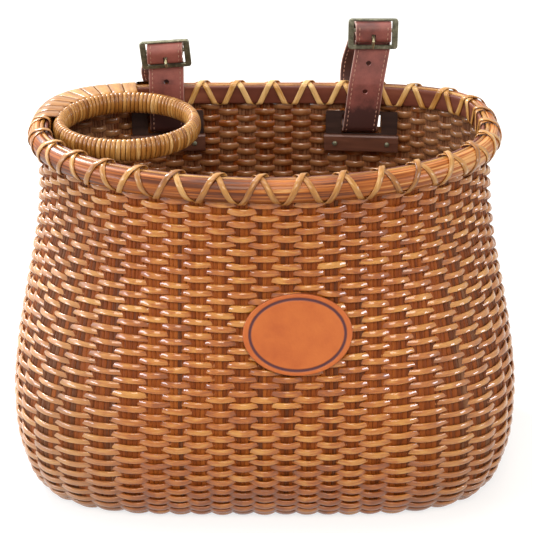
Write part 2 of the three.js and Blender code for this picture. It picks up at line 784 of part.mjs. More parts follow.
// What is cut from a strap: a gap in the fold for the prong's eye, the prong's slot, spare round holes
function strapCutters(side) {
  const eyeGap = prong.eyeWidth + 4 * clearance;
  const foldFront = foldRadius + strap.thickness / 2 + clearance / 2;
  const foldBack = eyeOuter + clearance;
  const foldCut = new THREE.BoxGeometry(eyeGap, foldFront + foldBack, 2 * foldFront);
  foldCut.translate(0, (foldBack - foldFront) / 2, 0);
  const slotTall = prongSlot.bottom - prongSlot.top;
  const cutThrough = strap.thickness * 4;
  const slotCut = new THREE.BoxGeometry(prongSlot.width, strap.thickness * 3, slotTall);
  slotCut.translate(0, -tongueRadius, -(prongSlot.top + prongSlot.bottom) / 2);
  const turned = new THREE.Matrix4().makeRotationFromEuler(buckleTurn(side));
  const heel = heelOf(side);
  const atHeel = new THREE.Matrix4().makeTranslation(heel.x, heel.y, heel.z).multiply(turned);
  const cutters = [foldCut.applyMatrix4(atHeel), slotCut.applyMatrix4(atHeel)];
  for (let i = 1; i <= side.holes; i += 1) {
    const { radius, spacing, sides: facets } = strapHole;
    const hole = new THREE.CylinderGeometry(radius, radius, cutThrough, facets);
    const z = heel.z - prongSlot.bottom / 2 - i * spacing;
    const share = (z - strapZ) / (heel.z - strapZ);
    const x = THREE.MathUtils.lerp(side.strapX, heel.x, share);
    cutters.push(hole.translate(x, frontRunY(side), z));
  }
  return cutters;
}

// Buckle frame: rounded rectangle with two openings, the heel bar between them
function roundedOutline(target, width, bottom, top, radius) {
  const half = width / 2;
  target.moveTo(-half + radius, bottom);
  target.lineTo(half - radius, bottom);
  target.absarc(half - radius, bottom + radius, radius, -Math.PI / 2, 0);
  target.lineTo(half, top - radius);
  target.absarc(half - radius, top - radius, radius, 0, Math.PI / 2);
  target.lineTo(-half + radius, top);
  target.absarc(-half + radius, top - radius, radius, Math.PI / 2, Math.PI);
  target.lineTo(-half, bottom + radius);
  target.absarc(-half + radius, bottom + radius, radius, Math.PI, 1.5 * Math.PI);
  return target;
}

function squareOutline(width, bottom, top) {
  const half = width / 2;
  const path = new THREE.Path();
  path.moveTo(-half, bottom);
  path.lineTo(half, bottom);
  path.lineTo(half, top);
  path.lineTo(-half, top);
  path.lineTo(-half, bottom);
  return path;
}

// Flat plate in the plane of X and Z, from its front face back by its thickness
function uprightPlate(shape, thickness, bevel) {
  const geometry = new THREE.ExtrudeGeometry(shape, {
    depth: thickness - 2 * bevel,
    bevelEnabled: bevel > 0,
    bevelThickness: bevel,
    bevelSize: bevel,
    bevelOffset: -bevel,
    bevelSegments: 1,
    curveSegments: 3,
  });
  return geometry.translate(0, 0, bevel).rotateX(Math.PI / 2).translate(0, thickness, 0);
}

function makeFrame() {
  const top = railBottom + frame.topRail;
  const bottom = -tipTop - frame.tipBar;
  const shape = roundedOutline(new THREE.Shape(), frame.width, bottom, top, frame.corner);
  const inner = frame.width - 2 * frame.sideBar;
  shape.holes.push(squareOutline(inner, -tipTop, -heelBar / 2));
  shape.holes.push(squareOutline(inner, heelBar / 2, railBottom));
  return uprightPlate(shape, frame.thickness, frameBevel).translate(0, -frame.thickness / 2, 0);
}

// Prong: eye round the heel bar, then a rod out through the strap and down onto the tip bar
function makeProng() {
  const half = prong.eyeWidth / 2;
  const profile = [[eyeBore, -half], [eyeOuter, -half], [eyeOuter, half], [eyeBore, half], [eyeBore, -half]];
  const outline = profile.map(([r, h]) => new THREE.Vector2(r, h));
  const eye = new THREE.LatheGeometry(outline, 2 * prong.sides).rotateZ(Math.PI / 2);
  const rest = -(frame.thickness / 2 + clearance + prong.radius);
  const rootAngle = prong.rootAngle * deg;
  const root = eyeBore + prong.eyeWall / 2;
  const knee = tongueRadius + strap.thickness / 2;
  const route = [
    [root * Math.cos(rootAngle), root * Math.sin(rootAngle)],
    [-tongueRadius + prongKnee.inside, -tongueRadius + prongKnee.inside + prongKnee.rise],
    [-knee, -knee + prongKnee.outsideRise],
    [rest, -tipTop - prong.tipOverhang],
  ];
  const rings = route.map(([y, z], i) => {
    const before = route[Math.max(i - 1, 0)];
    const after = route[Math.min(i + 1, route.length - 1)];
    const along = new THREE.Vector2(after[0] - before[0], after[1] - before[1]).normalize();
    return Array.from({ length: prong.sides }, (_, k) => {
      const angle = (k / prong.sides) * 2 * Math.PI;
      const side = prong.radius * Math.sin(angle);
      return new THREE.Vector3(prong.radius * Math.cos(angle), y + along.y * side, z - along.x * side);
    });
  });
  return fromManifold(toManifold(eye).add(toManifold(loft(rings, false))));
}

// Pieces on the inside of the back wall, square to the wall where the strap passes
function backGroup(side) {
  const reach = plate.width / 2;
  const [near, far] = [side.slotX - reach, side.slotX + reach].map(wallBackAt);
  const group = new THREE.Group();
  const chord = (near + far) / 2;
  group.position.set(side.slotX, chord + wall.proud - wall.thickness - plate.standOff, slotZ);
  group.rotation.z = Math.atan2(far - near, plate.width);
  basket.add(group);
  return group;
}

function makePlate() {
  const bottom = -plate.belowSlot;
  const shape = roundedOutline(new THREE.Shape(), plate.width, bottom, bottom + plate.height, plate.corner);
  shape.holes.push(squareOutline(slot.width, 0, slot.height));
  return uprightPlate(shape, plate.thickness, 0).translate(0, -plate.thickness, 0);
}

function makeBar() {
  const top = -plate.belowSlot - clearance;
  const profile = new THREE.Shape();
  profile.moveTo(0, top);
  profile.lineTo(0, top - bar.height);
  profile.lineTo(-bar.thickness + bar.chamfer, top - bar.height);
  profile.lineTo(-bar.thickness, top - bar.height + bar.chamfer);
  profile.lineTo(-bar.thickness, top - bar.chamfer);
  profile.lineTo(-bar.thickness + bar.chamfer, top);
  const geometry = new THREE.ExtrudeGeometry(profile, { depth: bar.width, bevelEnabled: false });
  const toUpright = new THREE.Matrix4().set(0, 0, 1, -bar.width / 2, 1, 0, 0, 0, 0, 1, 0, 0, 0, 0, 0, 1);
  return geometry.applyMatrix4(toUpright);
}

function makeTack() {
  const profile = [[0, 0], [tack.radius, 0]];
  for (let i = 1; i <= tack.arcSteps; i += 1) {
    const angle = (i / tack.arcSteps) * (Math.PI / 2);
    profile.push([tack.radius * Math.cos(angle), tack.height * Math.sin(angle)]);
  }
  profile[profile.length - 1][0] = 0;
  return new THREE.LatheGeometry(profile.map(([r, h]) => new THREE.Vector2(r, h)), tack.segments);
}

// Opening through the woven wall behind a slot plate
function wallSlotCutter(group) {
  const margin = 2 * slot.wallMargin;
  const box = new THREE.BoxGeometry(slot.width + margin, wall.thickness * 4, slot.height + margin);
  box.translate(0, 0, slot.height / 2);
  group.updateMatrixWorld(true);
  return box.applyMatrix4(group.matrixWorld);
}

// Badge: oval patch that follows the front of the wall
function wallFront(x, z) {
  const { half, front, frontPower } = wallShape(z, 0);
  return new THREE.Vector3(x, -front * (1 - (Math.abs(x) / half) ** frontPower) ** (1 / frontPower), z);
}

function wallFrontOut(x, z) {
  const across = wallFront(x + tangentReach, z).sub(wallFront(x - tangentReach, z));
  const up = wallFront(x, z + tangentReach).sub(wallFront(x, z - tangentReach));
  return across.cross(up).normalize();
}

function makeBadge() {
  const faces = [badge.standOff, badge.standOff + badge.thickness].map((out) => {
    const points = [];
    for (let r = 0; r <= badgeGrid.rings; r += 1) {
      for (let i = 0; i < (r === 0 ? 1 : badgeGrid.segments); i += 1) {
        const angle = (i / badgeGrid.segments) * 2 * Math.PI;
        const x = badge.x + ((badge.width / 2) * Math.cos(angle) * r) / badgeGrid.rings;
        const z = badge.z + ((badge.height / 2) * Math.sin(angle) * r) / badgeGrid.rings;
        points.push(wallFront(x, z).addScaledVector(wallFrontOut(x, z), out));
      }
    }
    return points;
  });
  const count = badgeGrid.segments;
  const total = faces[0].length;
  const id = (r, i) => (r === 0 ? 0 : 1 + (r - 1) * count + (i % count));
  const triangles = [];
  for (let i = 0; i < count; i += 1) {
    triangles.push([0, id(1, i), id(1, i + 1)].map((k) => k + total));
    triangles.push([0, id(1, i + 1), id(1, i)]);
    for (let r = 1; r < badgeGrid.rings; r += 1) {
      const [a, b, c, d] = [id(r, i), id(r + 1, i), id(r + 1, i + 1), id(r, i + 1)];
      triangles.push([a + total, b + total, c + total], [a + total, c + total, d + total]);
      triangles.push([a, c, b], [a, d, c]);
    }
    const [p, q] = [id(badgeGrid.rings, i), id(badgeGrid.rings, i + 1)];
    triangles.push([p, q, q + total], [p, q + total, p + total]);
  }
  return solidFrom(faces.flat(), triangles);
}

// Assembly
const backGroups = sides.map(backGroup);
addPiece("woven_wall", cut(makeWall(), backGroups.map(wallSlotCutter)), finishes.weave);
addPiece("woven_base", makeBase(), finishes.weave);
addPiece("outer_rim_hoop", carryRound(hoopOval(0)), finishes.hoop);
addPiece("inner_rim_hoop", carryRound(innerHoopProfile()), finishes.darkHoop);
addPiece("rim_filler_reed", carryRound(fillerProfile()), finishes.paleCane);
addPiece("rim_lashing_forward", makeLashing("rim_lashing_forward", 0, 1), finishes.paleCane);
const crossingLift = lashing.thickness + lashing.crossingGap;
addPiece("rim_lashing_reverse", makeLashing("rim_lashing_reverse", crossingLift, -1), finishes.paleCane);

const core = addPiece("cup_ring_core", makeRingCore(), finishes.cane);
core.rotation.x = Math.PI / 2;
core.position.set(ringX, ringPlace.y, ringZ);
addPiece("cup_ring_whipping", makeWhipping(), finishes.paleCane);
addPiece("cup_ring_binding", makeBinding(), finishes.paleCane);

sides.forEach((side, index) => {
  addPiece(`${side.name}_strap`, makeStrap(side), finishes.leather);
  const buckle = new THREE.Group();
  buckle.position.copy(heelOf(side));
  buckle.rotation.copy(buckleTurn(side));
  basket.add(buckle);
  addPiece(`${side.name}_buckle_frame`, makeFrame(), finishes.brass, buckle);
  addPiece(`${side.name}_buckle_prong`, makeProng(), finishes.brass, buckle);
  const group = backGroups[index];
  addPiece(`${side.name}_slot_plate`, makePlate(), finishes.darkWood, group);
  addPiece(`${side.name}_strap_bar`, makeBar(), finishes.wood, group);
  ["left", "right"].forEach((end, i) => {
    const head = addPiece(`${side.name}_bar_tack_${end}`, makeTack(), finishes.brass, group);
    const across = (2 * i - 1) * (bar.width / 2 - tack.inset);
    head.position.set(across, -bar.thickness - clearance, -plate.belowSlot - clearance - bar.height / 2);
    head.rotation.x = Math.PI;
  });
});

addPiece("badge_patch", makeBadge(), finishes.tanLeather);

export default basket;
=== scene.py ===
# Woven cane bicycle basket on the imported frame. Shapes are worked out in millimetres and stored in metres.
import math
import bpy
import numpy as np
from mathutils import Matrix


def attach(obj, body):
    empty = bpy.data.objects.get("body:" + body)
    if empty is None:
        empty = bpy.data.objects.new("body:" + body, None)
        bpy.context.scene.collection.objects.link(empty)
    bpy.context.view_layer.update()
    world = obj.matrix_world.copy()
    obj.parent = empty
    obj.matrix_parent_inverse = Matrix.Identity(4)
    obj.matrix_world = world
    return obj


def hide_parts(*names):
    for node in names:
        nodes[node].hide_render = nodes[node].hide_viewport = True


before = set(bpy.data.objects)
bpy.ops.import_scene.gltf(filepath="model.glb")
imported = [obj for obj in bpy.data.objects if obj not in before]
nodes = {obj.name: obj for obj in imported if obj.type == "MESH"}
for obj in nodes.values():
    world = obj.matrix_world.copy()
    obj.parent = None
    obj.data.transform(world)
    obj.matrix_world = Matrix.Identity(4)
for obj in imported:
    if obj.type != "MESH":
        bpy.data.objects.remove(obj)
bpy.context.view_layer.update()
rng = np.random.default_rng(11)
mm = 0.001


# small helpers
def linear(hexColour):
    # sRGB hex to linear RGBA
    channels = np.array([int(hexColour[i:i + 2], 16) for i in (0, 2, 4)]) / 255
    low = channels / 12.92
    high = ((channels + 0.055) / 1.055) ** 2.4
    return (*np.where(channels <= 0.04045, low, high).tolist(), 1.0)


def smooth(t):
    # smooth step from 0 to 1: 3t^2 - 2t^3
    t = np.clip(t, 0, 1)
    return t * t * (3 - 2 * t)


def unit(v):
    # each vector over its own length
    return v / np.linalg.norm(v, axis=-1, keepdims=True)


def signedPower(v, power):
    # power of the size, with the sign put back
    return np.sign(v) * np.abs(v) ** power


def runningLength(points):
    # distance run along the first axis of the points, from 0
    steps = np.linalg.norm(np.diff(points, axis=0), axis=-1)
    return np.concatenate([np.zeros_like(steps[:1]), steps.cumsum(0)])


def pointsAt(distance, length, points):
    # points read off at distances along their running length
    return np.stack([np.interp(distance, length, column) for column in points.T], -1)


def wander(shape, knots):
    # slow seeded variation along the last axis, periodic, between about -1 and 1
    count = shape[-1]
    usualHeight = 0.6
    heights = rng.normal(0, usualHeight, (*shape[:-1], knots))
    where = np.arange(count) / count * knots
    low = where.astype(int) % knots
    share = smooth(where - np.floor(where))
    return heights[..., low] * (1 - share) + heights[..., (low + 1) % knots] * share


def meshObject(name, points, faces, material, attributes=None):
    # points in millimetres, faces as rows of vertex numbers, attributes with a value or vector for each point
    mesh = bpy.data.meshes.new(name)
    mesh.vertices.add(len(points))
    mesh.vertices.foreach_set("co", (points * mm).astype(np.float32).ravel())
    mesh.loops.add(faces.size)
    mesh.loops.foreach_set("vertex_index", faces.astype(np.int32).ravel())
    mesh.polygons.add(len(faces))
    mesh.polygons.foreach_set("loop_start", np.arange(0, faces.size, faces.shape[1], dtype=np.int32))
    mesh.polygons.foreach_set("use_smooth", np.ones(len(faces), dtype=bool))
    for key, values in (attributes or {}).items():
        kind, field = ("FLOAT", "value") if values.ndim == 1 else ("FLOAT_VECTOR", "vector")
        layer = mesh.attributes.new(key, kind, "POINT")
        layer.data.foreach_set(field, values.astype(np.float32).ravel())
    mesh.update(calc_edges=True)
    mesh.validate()
    mesh.materials.append(material)
    piece = bpy.data.objects.new(name, mesh)
    bpy.context.scene.collection.objects.link(piece)
    return piece


def place(piece, slotName, *replaced):
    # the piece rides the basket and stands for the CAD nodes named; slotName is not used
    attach(piece, "basket")
    if replaced:
        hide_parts(*replaced)


def ovalSection(wide, tall, turns, power=2.0):
    # superellipse, counter-clockwise: x = wide/2 * cos^(2/n), y = tall/2 * sin^(2/n)
    # turns is a count of even sides, or the degrees themselves
    a = np.radians(np.arange(turns) / turns * 360 if np.isscalar(turns) else turns)
    x = wide / 2 * signedPower(np.cos(a), 2 / power)
    y = tall / 2 * signedPower(np.sin(a), 2 / power)
    return np.stack([x, y], 1)


def ringFaces(strands, steps, sides, closed=False):
    # quads between each section of a strand and the next one
    ids = np.arange(strands * steps * sides).reshape(strands, steps, sides)
    here = ids if closed else ids[:, :-1]
    there = np.roll(ids, -1, axis=1) if closed else ids[:, 1:]
    return np.stack([here, np.roll(here, -1, 2), np.roll(there, -1, 2), there], -1).reshape(-1, 4)


def sweepStrands(paths, across, out, section, wide=1.0, tall=1.0, closed=False):
    # section carried along each path: point + across * x * wide + out * y * tall
    # paths are (strand, step, 3), or (step, 3) for one strand
    paths, across, out = (array.reshape(-1, *array.shape[-2:]) for array in (paths, across, out))
    strands, steps, _ = paths.shape
    wide, tall = (np.broadcast_to(scale, (strands, steps))[..., None, None] for scale in (wide, tall))
    spread = across[:, :, None] * section[:, :1] * wide + out[:, :, None] * section[:, 1:] * tall
    rings = paths[:, :, None] + spread
    return rings.reshape(-1, 3), ringFaces(strands, steps, len(section), closed)


def strandAttributes(paths, sides, tone, sideTone=0.0):
    # tone for each step and side; strand holds the length along in mm, the turn round and the strand's place
    strandGap = 7.3  # keeps the streaks of neighbouring strands apart
    paths = paths.reshape(-1, *paths.shape[-2:])
    strands, steps, _ = paths.shape
    length = np.linalg.norm(np.diff(paths, axis=1, prepend=paths[:, :1]), axis=2).cumsum(1)
    along = np.repeat(length[..., None], sides, 2)
    around = np.broadcast_to(np.arange(sides) / sides, along.shape)
    number = np.broadcast_to(np.arange(strands)[:, None, None] * strandGap, along.shape)
    tones = np.broadcast_to(tone, (strands, steps))[..., None] + np.broadcast_to(sideTone, (sides,))
    return {"tone": tones.ravel(), "strand": np.stack([along, around, number], -1).reshape(-1, 3)}


# materials
def addNode(tree, kind, sockets=(), stops=(), **settings):
    # a socket takes a constant, or the output that feeds it; stops are the places and colours of a ramp
    node = tree.nodes.new(kind)
    for key, value in settings.items():
        setattr(node, key, value)
    for key, value in dict(sockets).items():
        if isinstance(value, bpy.types.NodeSocket):
            tree.links.new(value, node.inputs[key])
        else:
            node.inputs[key].default_value = value
    if stops:
        elements = node.color_ramp.elements
        while len(elements) < len(stops):
            elements.new(0.5)
        for element, (position, colour) in zip(elements, stops):
            element.position = position
            element.color = linear(colour)
    return node


def emptyTree(owner):
    # node tree of a material or the world, with nothing in it yet
    owner.use_nodes = True
    owner.node_tree.nodes.clear()
    return owner.node_tree


def finishSurface(tree, colour, cloud, height, roughness, bump, constants):
    # roughness = (lowest, highest) over the cloud pattern
    # bump = (strength, depth in mm) over the height pattern
    low, high = roughness
    strength, deep = bump
    rough = addNode(tree, "ShaderNodeMapRange", {"Value": cloud, "To Min": low, "To Max": high})
    relief = addNode(tree, "ShaderNodeBump", {"Height": height, "Strength": strength, "Distance": deep * mm})
    linked = {"Base Color": colour, "Roughness": rough.outputs["Result"], "Normal": relief.outputs["Normal"]}
    shader = addNode(tree, "ShaderNodeBsdfPrincipled", {**linked, **constants})
    addNode(tree, "ShaderNodeOutputMaterial", {"Surface": shader.outputs["BSDF"]})


def caneMaterial(name, stops, streakLong, streaksRound, contrast, roughness, coat, coatRoughness):
    # tone picks the stain, streaks of a length in mm run along the strand, and paintedLight mixes in a pale
    # colour as painted sheen and light
    material = bpy.data.materials.new(name)
    tree = emptyTree(material)
    keys = ("tone", "strand", "paintedLight")
    tone, strand, paintedLight = [addNode(tree, "ShaderNodeAttribute", attribute_name=key) for key in keys]
    scale = (1 / streakLong, streaksRound, 1.0)
    stretch = addNode(tree, "ShaderNodeVectorMath", {0: strand.outputs["Vector"], 1: scale},
                      operation="MULTIPLY")
    noise = addNode(tree, "ShaderNodeTexNoise",
                    {"Vector": stretch.outputs[0], "Scale": 1.0, "Detail": 4.0, "Roughness": 0.6})
    streaks = noise.outputs["Fac"]
    shift = addNode(tree, "ShaderNodeMath", {0: tone.outputs["Fac"], 1: contrast / 2}, operation="SUBTRACT")
    stain = addNode(tree, "ShaderNodeMath",
                    {0: streaks, 1: contrast, 2: shift.outputs[0]}, operation="MULTIPLY_ADD")
    colour = addNode(tree, "ShaderNodeValToRGB", {"Fac": stain.outputs[0]}, stops)
    # painted sheen and light: the pale colour mixed in towards the ends
    paintedSheenColour = linear("b8956a")
    paintedSheenMix = addNode(tree, "ShaderNodeMix",
                     {"Factor": paintedLight.outputs["Fac"], 6: colour.outputs["Color"], 7: paintedSheenColour},
                     data_type="RGBA")
    constants = {"Specular IOR Level": 0.2, "Coat Weight": coat, "Coat Roughness": coatRoughness}
    finishSurface(tree, paintedSheenMix.outputs[2], streaks, streaks, (roughness - 0.08, roughness + 0.1), (0.3, 0.15),
                  constants)
    return material


def leatherMaterial(name, stops, edgeColour, grain, roughness):
    # cloudy colour made darker by shade, another colour by edge, and pebbled grain of a size in mm
    material = bpy.data.materials.new(name)
    tree = emptyTree(material)
    cloudSize = 16.67  # mm
    where = addNode(tree, "ShaderNodeTexCoord").outputs["Object"]
    edge, shade = [addNode(tree, "ShaderNodeAttribute", attribute_name=key) for key in ("edge", "shade")]
    pebbles = addNode(tree, "ShaderNodeTexVoronoi", {"Vector": where, "Scale": 1 / (grain * mm)},
                      feature="F1")
    noise = addNode(tree, "ShaderNodeTexNoise",
                    {"Vector": where, "Scale": 1 / (cloudSize * mm), "Detail": 5.0, "Roughness": 0.6})
    clouds = noise.outputs["Fac"]
    darker = addNode(tree, "ShaderNodeMath", {0: clouds, 1: shade.outputs["Fac"]}, operation="SUBTRACT")
    hide = addNode(tree, "ShaderNodeValToRGB", {"Fac": darker.outputs[0]}, stops)
    worn = addNode(tree, "ShaderNodeMix",
                   {"Factor": edge.outputs["Fac"], 6: hide.outputs["Color"], 7: linear(edgeColour)},
                   data_type="RGBA")
    finishSurface(tree, worn.outputs[2], clouds, pebbles.outputs["Distance"],
                  (roughness - 0.1, roughness + 0.12), (0.35, 0.12), {})
    return material


def grainedMaterial(name, stops, grain, roughness, constants):
    # noise of a size in mm on each axis: wood grain where it is long in x, patina or fibre where it is even
    material = bpy.data.materials.new(name)
    tree = emptyTree(material)
    where = addNode(tree, "ShaderNodeTexCoord").outputs["Object"]
    scale = [1 / (size * mm) for size in grain]
    stretch = addNode(tree, "ShaderNodeVectorMath", {0: where, 1: scale}, operation="MULTIPLY")
    noise = addNode(tree, "ShaderNodeTexNoise",
                    {"Vector": stretch.outputs[0], "Scale": 1.0, "Detail": 6.0, "Roughness": 0.65})
    grains = noise.outputs["Fac"]
    colour = addNode(tree, "ShaderNodeValToRGB", {"Fac": grains}, stops)
    finishSurface(tree, colour.outputs["Color"], grains, grains, (roughness - 0.12, roughness + 0.15),
                  (0.3, 0.1), constants)
    return material


# split rattan peel, stained and varnished: honey brown with fibre streaks, a small bright glint on each float
weaverCane = caneMaterial("varnishedSplitCane", [(0.0, "9c6a42"), (0.2, "82481c"), (0.4, "924a10"),
                                                 (0.66, "b4661a"), (1.0, "ce9040")],
                          streakLong=8.33, streaksRound=9.0, contrast=1.2,
                          roughness=0.4, coat=1.0, coatRoughness=0.08)
# round reed drawn from the rattan core, stained but not varnished: dull red brown with long streaks
stakeCane = caneMaterial("stainedCoreReed",
                         [(0.0, "80563a"), (0.2, "5a2a0c"), (0.5, "8a4210"), (1.0, "ac6022")],
                         streakLong=33.33, streaksRound=8.0, contrast=0.8,
                         roughness=0.6, coat=0.0, coatRoughness=0.3)
# bent rattan pole, split, scorched and wiped with varnish: long dark and pale streaks under a soft gloss
hoopCane = caneMaterial("scorchedRattanPole",
                        [(0.12, "5c2a0a"), (0.38, "924c16"), (0.6, "b66a2a"), (0.85, "d8a264")],
                        streakLong=83.33, streaksRound=12.0, contrast=2.2,
                        roughness=0.4, coat=0.3, coatRoughness=0.2)
# flat cane stained dark: even reddish brown with a little gloss
darkCane = caneMaterial("darkStainedCane", [(0.0, "48221a"), (0.5, "6e3b2b"), (1.0, "9c6046")],
                        streakLong=83.33, streaksRound=7.0, contrast=0.9,
                        roughness=0.45, coat=0.3, coatRoughness=0.3)
# shaved cane binding strip, left straw coloured under varnish: pale gold with darker fibres
paleCane = caneMaterial("strawBindingCane",
                        [(0.0, "63350f"), (0.4, "9e662a"), (0.7, "bd8844"), (1.0, "dcb374")],
                        streakLong=16.67, streaksRound=6.0, contrast=1.3,
                        roughness=0.4, coat=0.6, coatRoughness=0.22)
# smooth bridle leather, dyed through: cloudy red brown, rubbed pale along the cut edges
# hide grain is about 0.5 mm, and both leathers draw it coarser so that it shows
strapLeather = leatherMaterial("dyedBridleLeather", [(0.2, "3c1e1a"), (0.5, "80463d"), (0.75, "9a5a4e")],
                               edgeColour="b89080", grain=1.111, roughness=0.5)
# russet vegetable-tanned leather, burnt dark where the line is pressed in: warm orange tan, half matt
badgeLeather = leatherMaterial("russetTannedLeather", [(0.25, "b2551c"), (0.5, "c06325"), (0.75, "c86c2c")],
                               edgeColour="46161e", grain=1.429, roughness=0.55)
# cast brass with a brown-green antique plating: cloudy patina, blurred reflections
antiqueBrass = grainedMaterial("antiqueBrass", [(0.3, "4e4f44"), (0.5, "74745f"), (0.75, "9c9b86")],
                               (3.333, 3.333, 3.333), 0.42, {"Metallic": 0.6})
# drawn brass wire with the plating rubbed off: paler and more metallic
wornBrass = grainedMaterial("wornBrassWire", [(0.3, "8c866a"), (0.5, "b4ad8a"), (0.75, "d4cdaa")],
                            (3.333, 3.333, 3.333), 0.5, {"Metallic": 1.0})
# sawn hardwood stained near-black: faint long grain
darkWood = grainedMaterial("blackStainedWood", [(0.3, "20110d"), (0.55, "33201a"), (0.8, "4a322a")],
                           (66.67, 4.545, 4.545), 0.5, {})
# planed hardwood stained brown under a thin lacquer: long grain with a little gloss
barWood = grainedMaterial("lacqueredBrownWood", [(0.3, "482a22"), (0.55, "694232"), (0.8, "885a47")],
                          (66.67, 4.545, 4.545), 0.42, {"Coat Weight": 0.3})
# twisted linen thread pulled through wax: dull pinkish tan, with fibres of half a millimetre
waxedThread = grainedMaterial("waxedLinenThread", [(0.3, "8a5a48"), (0.6, "b58a72"), (0.9, "cfa88c")],
                              (0.5, 0.5, 0.5), 0.6, {})
print("materials ready")

# body: plan outlines stacked from under the rim down to the base
body = dict(height=240.0, neckDrop=31.0, rimHalf=151.75, rimFront=101.5, rimBack=77.0, proud=2.0,
            bellyHalf=175.0, bellyFront=138.0, bellyBack=80.0, bellyHeight=62.0,
            insetHalf=23.0, insetFront=24.0, insetBack=25.0, rimPower=2.0, basePower=4.5, backPower=3.7,
            stakes=68, perStake=8, rows=55, perRow=6, evenRows=36, lastPitch=0.74, topZ=224.5,
            cornerFrom=0.35, cornerOver=0.6, flareLevels=110, footLevels=60)
columns = body["stakes"] * body["perStake"]
quarter = 300  # outline points in a quarter turn
outlineStep = np.arange(4 * quarter + 1)
outlineTurn = outlineStep / quarter * np.pi / 2 - np.pi / 2
outlineFront = (outlineStep < quarter) | (outlineStep > 3 * quarter)


def outline(half, front, back, frontPower):
    # plan outline from the middle of the front, counter-clockwise, and its running length:
    # x = half * cos^(2/n), y = depth * sin^(2/n), where n and depth differ in front and behind
    power = np.where(outlineFront, frontPower, body["backPower"])
    depth = np.where(outlineFront, front, back)
    x = half * signedPower(np.cos(outlineTurn), 2 / power)
    y = depth * signedPower(np.sin(outlineTurn), 2 / power)
    plan = np.stack([x, y], 1)
    return plan, runningLength(plan)


rimPlan, rimLength = outline(body["rimHalf"], body["rimFront"], body["rimBack"], body["rimPower"])
rimTotal = rimLength[-1]
# stakes stand closest round the sides: running sum of a density over the distance from mid front
crowd = dict(distance=[70.0, 160.0, 290.0, 350.0], density=[1.0, 1.36, 1.36, 1.08], samples=2001)
rimSteps = np.linspace(0, rimTotal, crowd["samples"])
density = np.interp(np.minimum(rimSteps, rimTotal - rimSteps), crowd["distance"], crowd["density"])
crowdSum = np.concatenate([[0], (density[1:] + density[:-1]).cumsum()])
columnStation = np.interp(np.arange(columns) / columns * crowdSum[-1], crowdSum, rimSteps)
print("stake pitch in front", columnStation[body["perStake"]])


def levelShape(z, turn=0.0):
    # half width, front, back and power at a height: each reach grows by a smooth step from neck to belly,
    # and below the belly it draws in by inset * (1 - cos turn), a quarter oval
    neck = body["height"] - body["neckDrop"]
    flare = smooth((neck - z) / (neck - body["bellyHeight"]))
    drawnIn = 1 - math.cos(turn)
    reaches = []
    for way in ("Half", "Front", "Back"):
        top = body["rim" + way] + body["proud"]
        reaches.append(top + (body["belly" + way] - top) * flare - body["inset" + way] * drawnIn)
    power = body["rimPower"] + (body["basePower"] - body["rimPower"]) * np.clip((neck - z) / neck, 0, 1)
    return (*reaches, power)


def frontQuarter(t, rimQuarter, levelQuarter):
    # distance from mid front: as on the rim, plus the rest of the quarter by a smooth step at the corner
    corner = smooth((t - body["cornerFrom"]) / body["cornerOver"])
    return rimQuarter * t + (levelQuarter - rimQuarter) * corner


def levelRing(z, turn=0.0):
    # a point for each column: stakes keep the rim's spacing in front and share out the back evenly
    plan, length = outline(*levelShape(z, turn))
    rimRight, rimLeft = rimLength[[quarter, 3 * quarter]]
    right, left, total = length[[quarter, 3 * quarter, -1]]
    rimLast = rimTotal - rimLeft
    fromRight = frontQuarter(columnStation / rimRight, rimRight, right)
    fromLeft = total - frontQuarter((rimTotal - columnStation) / rimLast, rimLast, total - left)
    behind = right + (columnStation - rimRight) / (rimLeft - rimRight) * (left - right)
    onFront = [columnStation < rimRight, columnStation >= rimLeft]
    distance = np.select(onFront, [fromRight, fromLeft], behind)
    return np.column_stack([pointsAt(distance, length, plan), np.full(columns, z)])


levels = [levelRing(z) for z in np.linspace(body["topZ"], body["bellyHeight"], body["flareLevels"])]
levels += [levelRing(body["bellyHeight"] * (1 - math.sin(a)), a)
           for a in np.linspace(0, np.pi / 2, body["footLevels"])[1:]]
shell = np.array(levels)  # (level, column, 3), the outer face of the wall
runs = runningLength(shell)
runs = runs / runs[-1]
rowPitch = np.interp(np.arange(body["rows"]), [body["evenRows"], body["rows"] - 1], [1, body["lastPitch"]])
rowEdges = np.concatenate([[0], rowPitch.cumsum()]) / rowPitch.sum()  # rows close up towards the base
gridRow = np.arange(body["rows"] * body["perRow"] + 1) / body["perRow"]
gridShare = np.interp(gridRow, np.arange(body["rows"] + 1), rowEdges)
# skin: the shell read off at the row shares, straight between the level above and the level below
above = np.clip((runs <= gridShare[:, None, None]).sum(1) - 1, 0, len(shell) - 2)
column = np.arange(columns)
part = (gridShare[:, None] - runs[above, column]) / (runs[above + 1, column] - runs[above, column])
skin = shell[above, column] * (1 - part)[..., None] + shell[above + 1, column] * part[..., None]
aroundStep = np.roll(skin, -1, 1) - np.roll(skin, 1, 1)
downStep = np.gradient(skin, axis=0)
skinOut = unit(np.cross(downStep, aroundStep))
skinSide = unit(aroundStep)
skinDown = unit(downStep)
print("wall surface", skin.shape)

# slots: the weave is left open where a strap passes the back wall
slotOpening = dict(centres=(-67.8, 70.5), halfWide=14.5, low=205.4, high=217.8)
# painted sheen and light: cane painted paler towards the two ends, most on the left
paintedPaleEnds = dict(left=0.42, leftFrom=70.0, leftOver=70.0, right=0.25, rightFrom=80.0, rightOver=60.0)
ends = dict(start=70.0, over=70.0)


def outsideSlots(points, faces):
    # faces kept where the mean of their corners lies outside both slots
    middle = points[faces].mean(1)
    beside = np.abs(middle[:, :1] - slotOpening["centres"]).min(1) > slotOpening["halfWide"]
    offLevel = (middle[:, 2] < slotOpening["low"]) | (middle[:, 2] > slotOpening["high"])
    return faces[beside | offLevel | (middle[:, 1] < 0)]


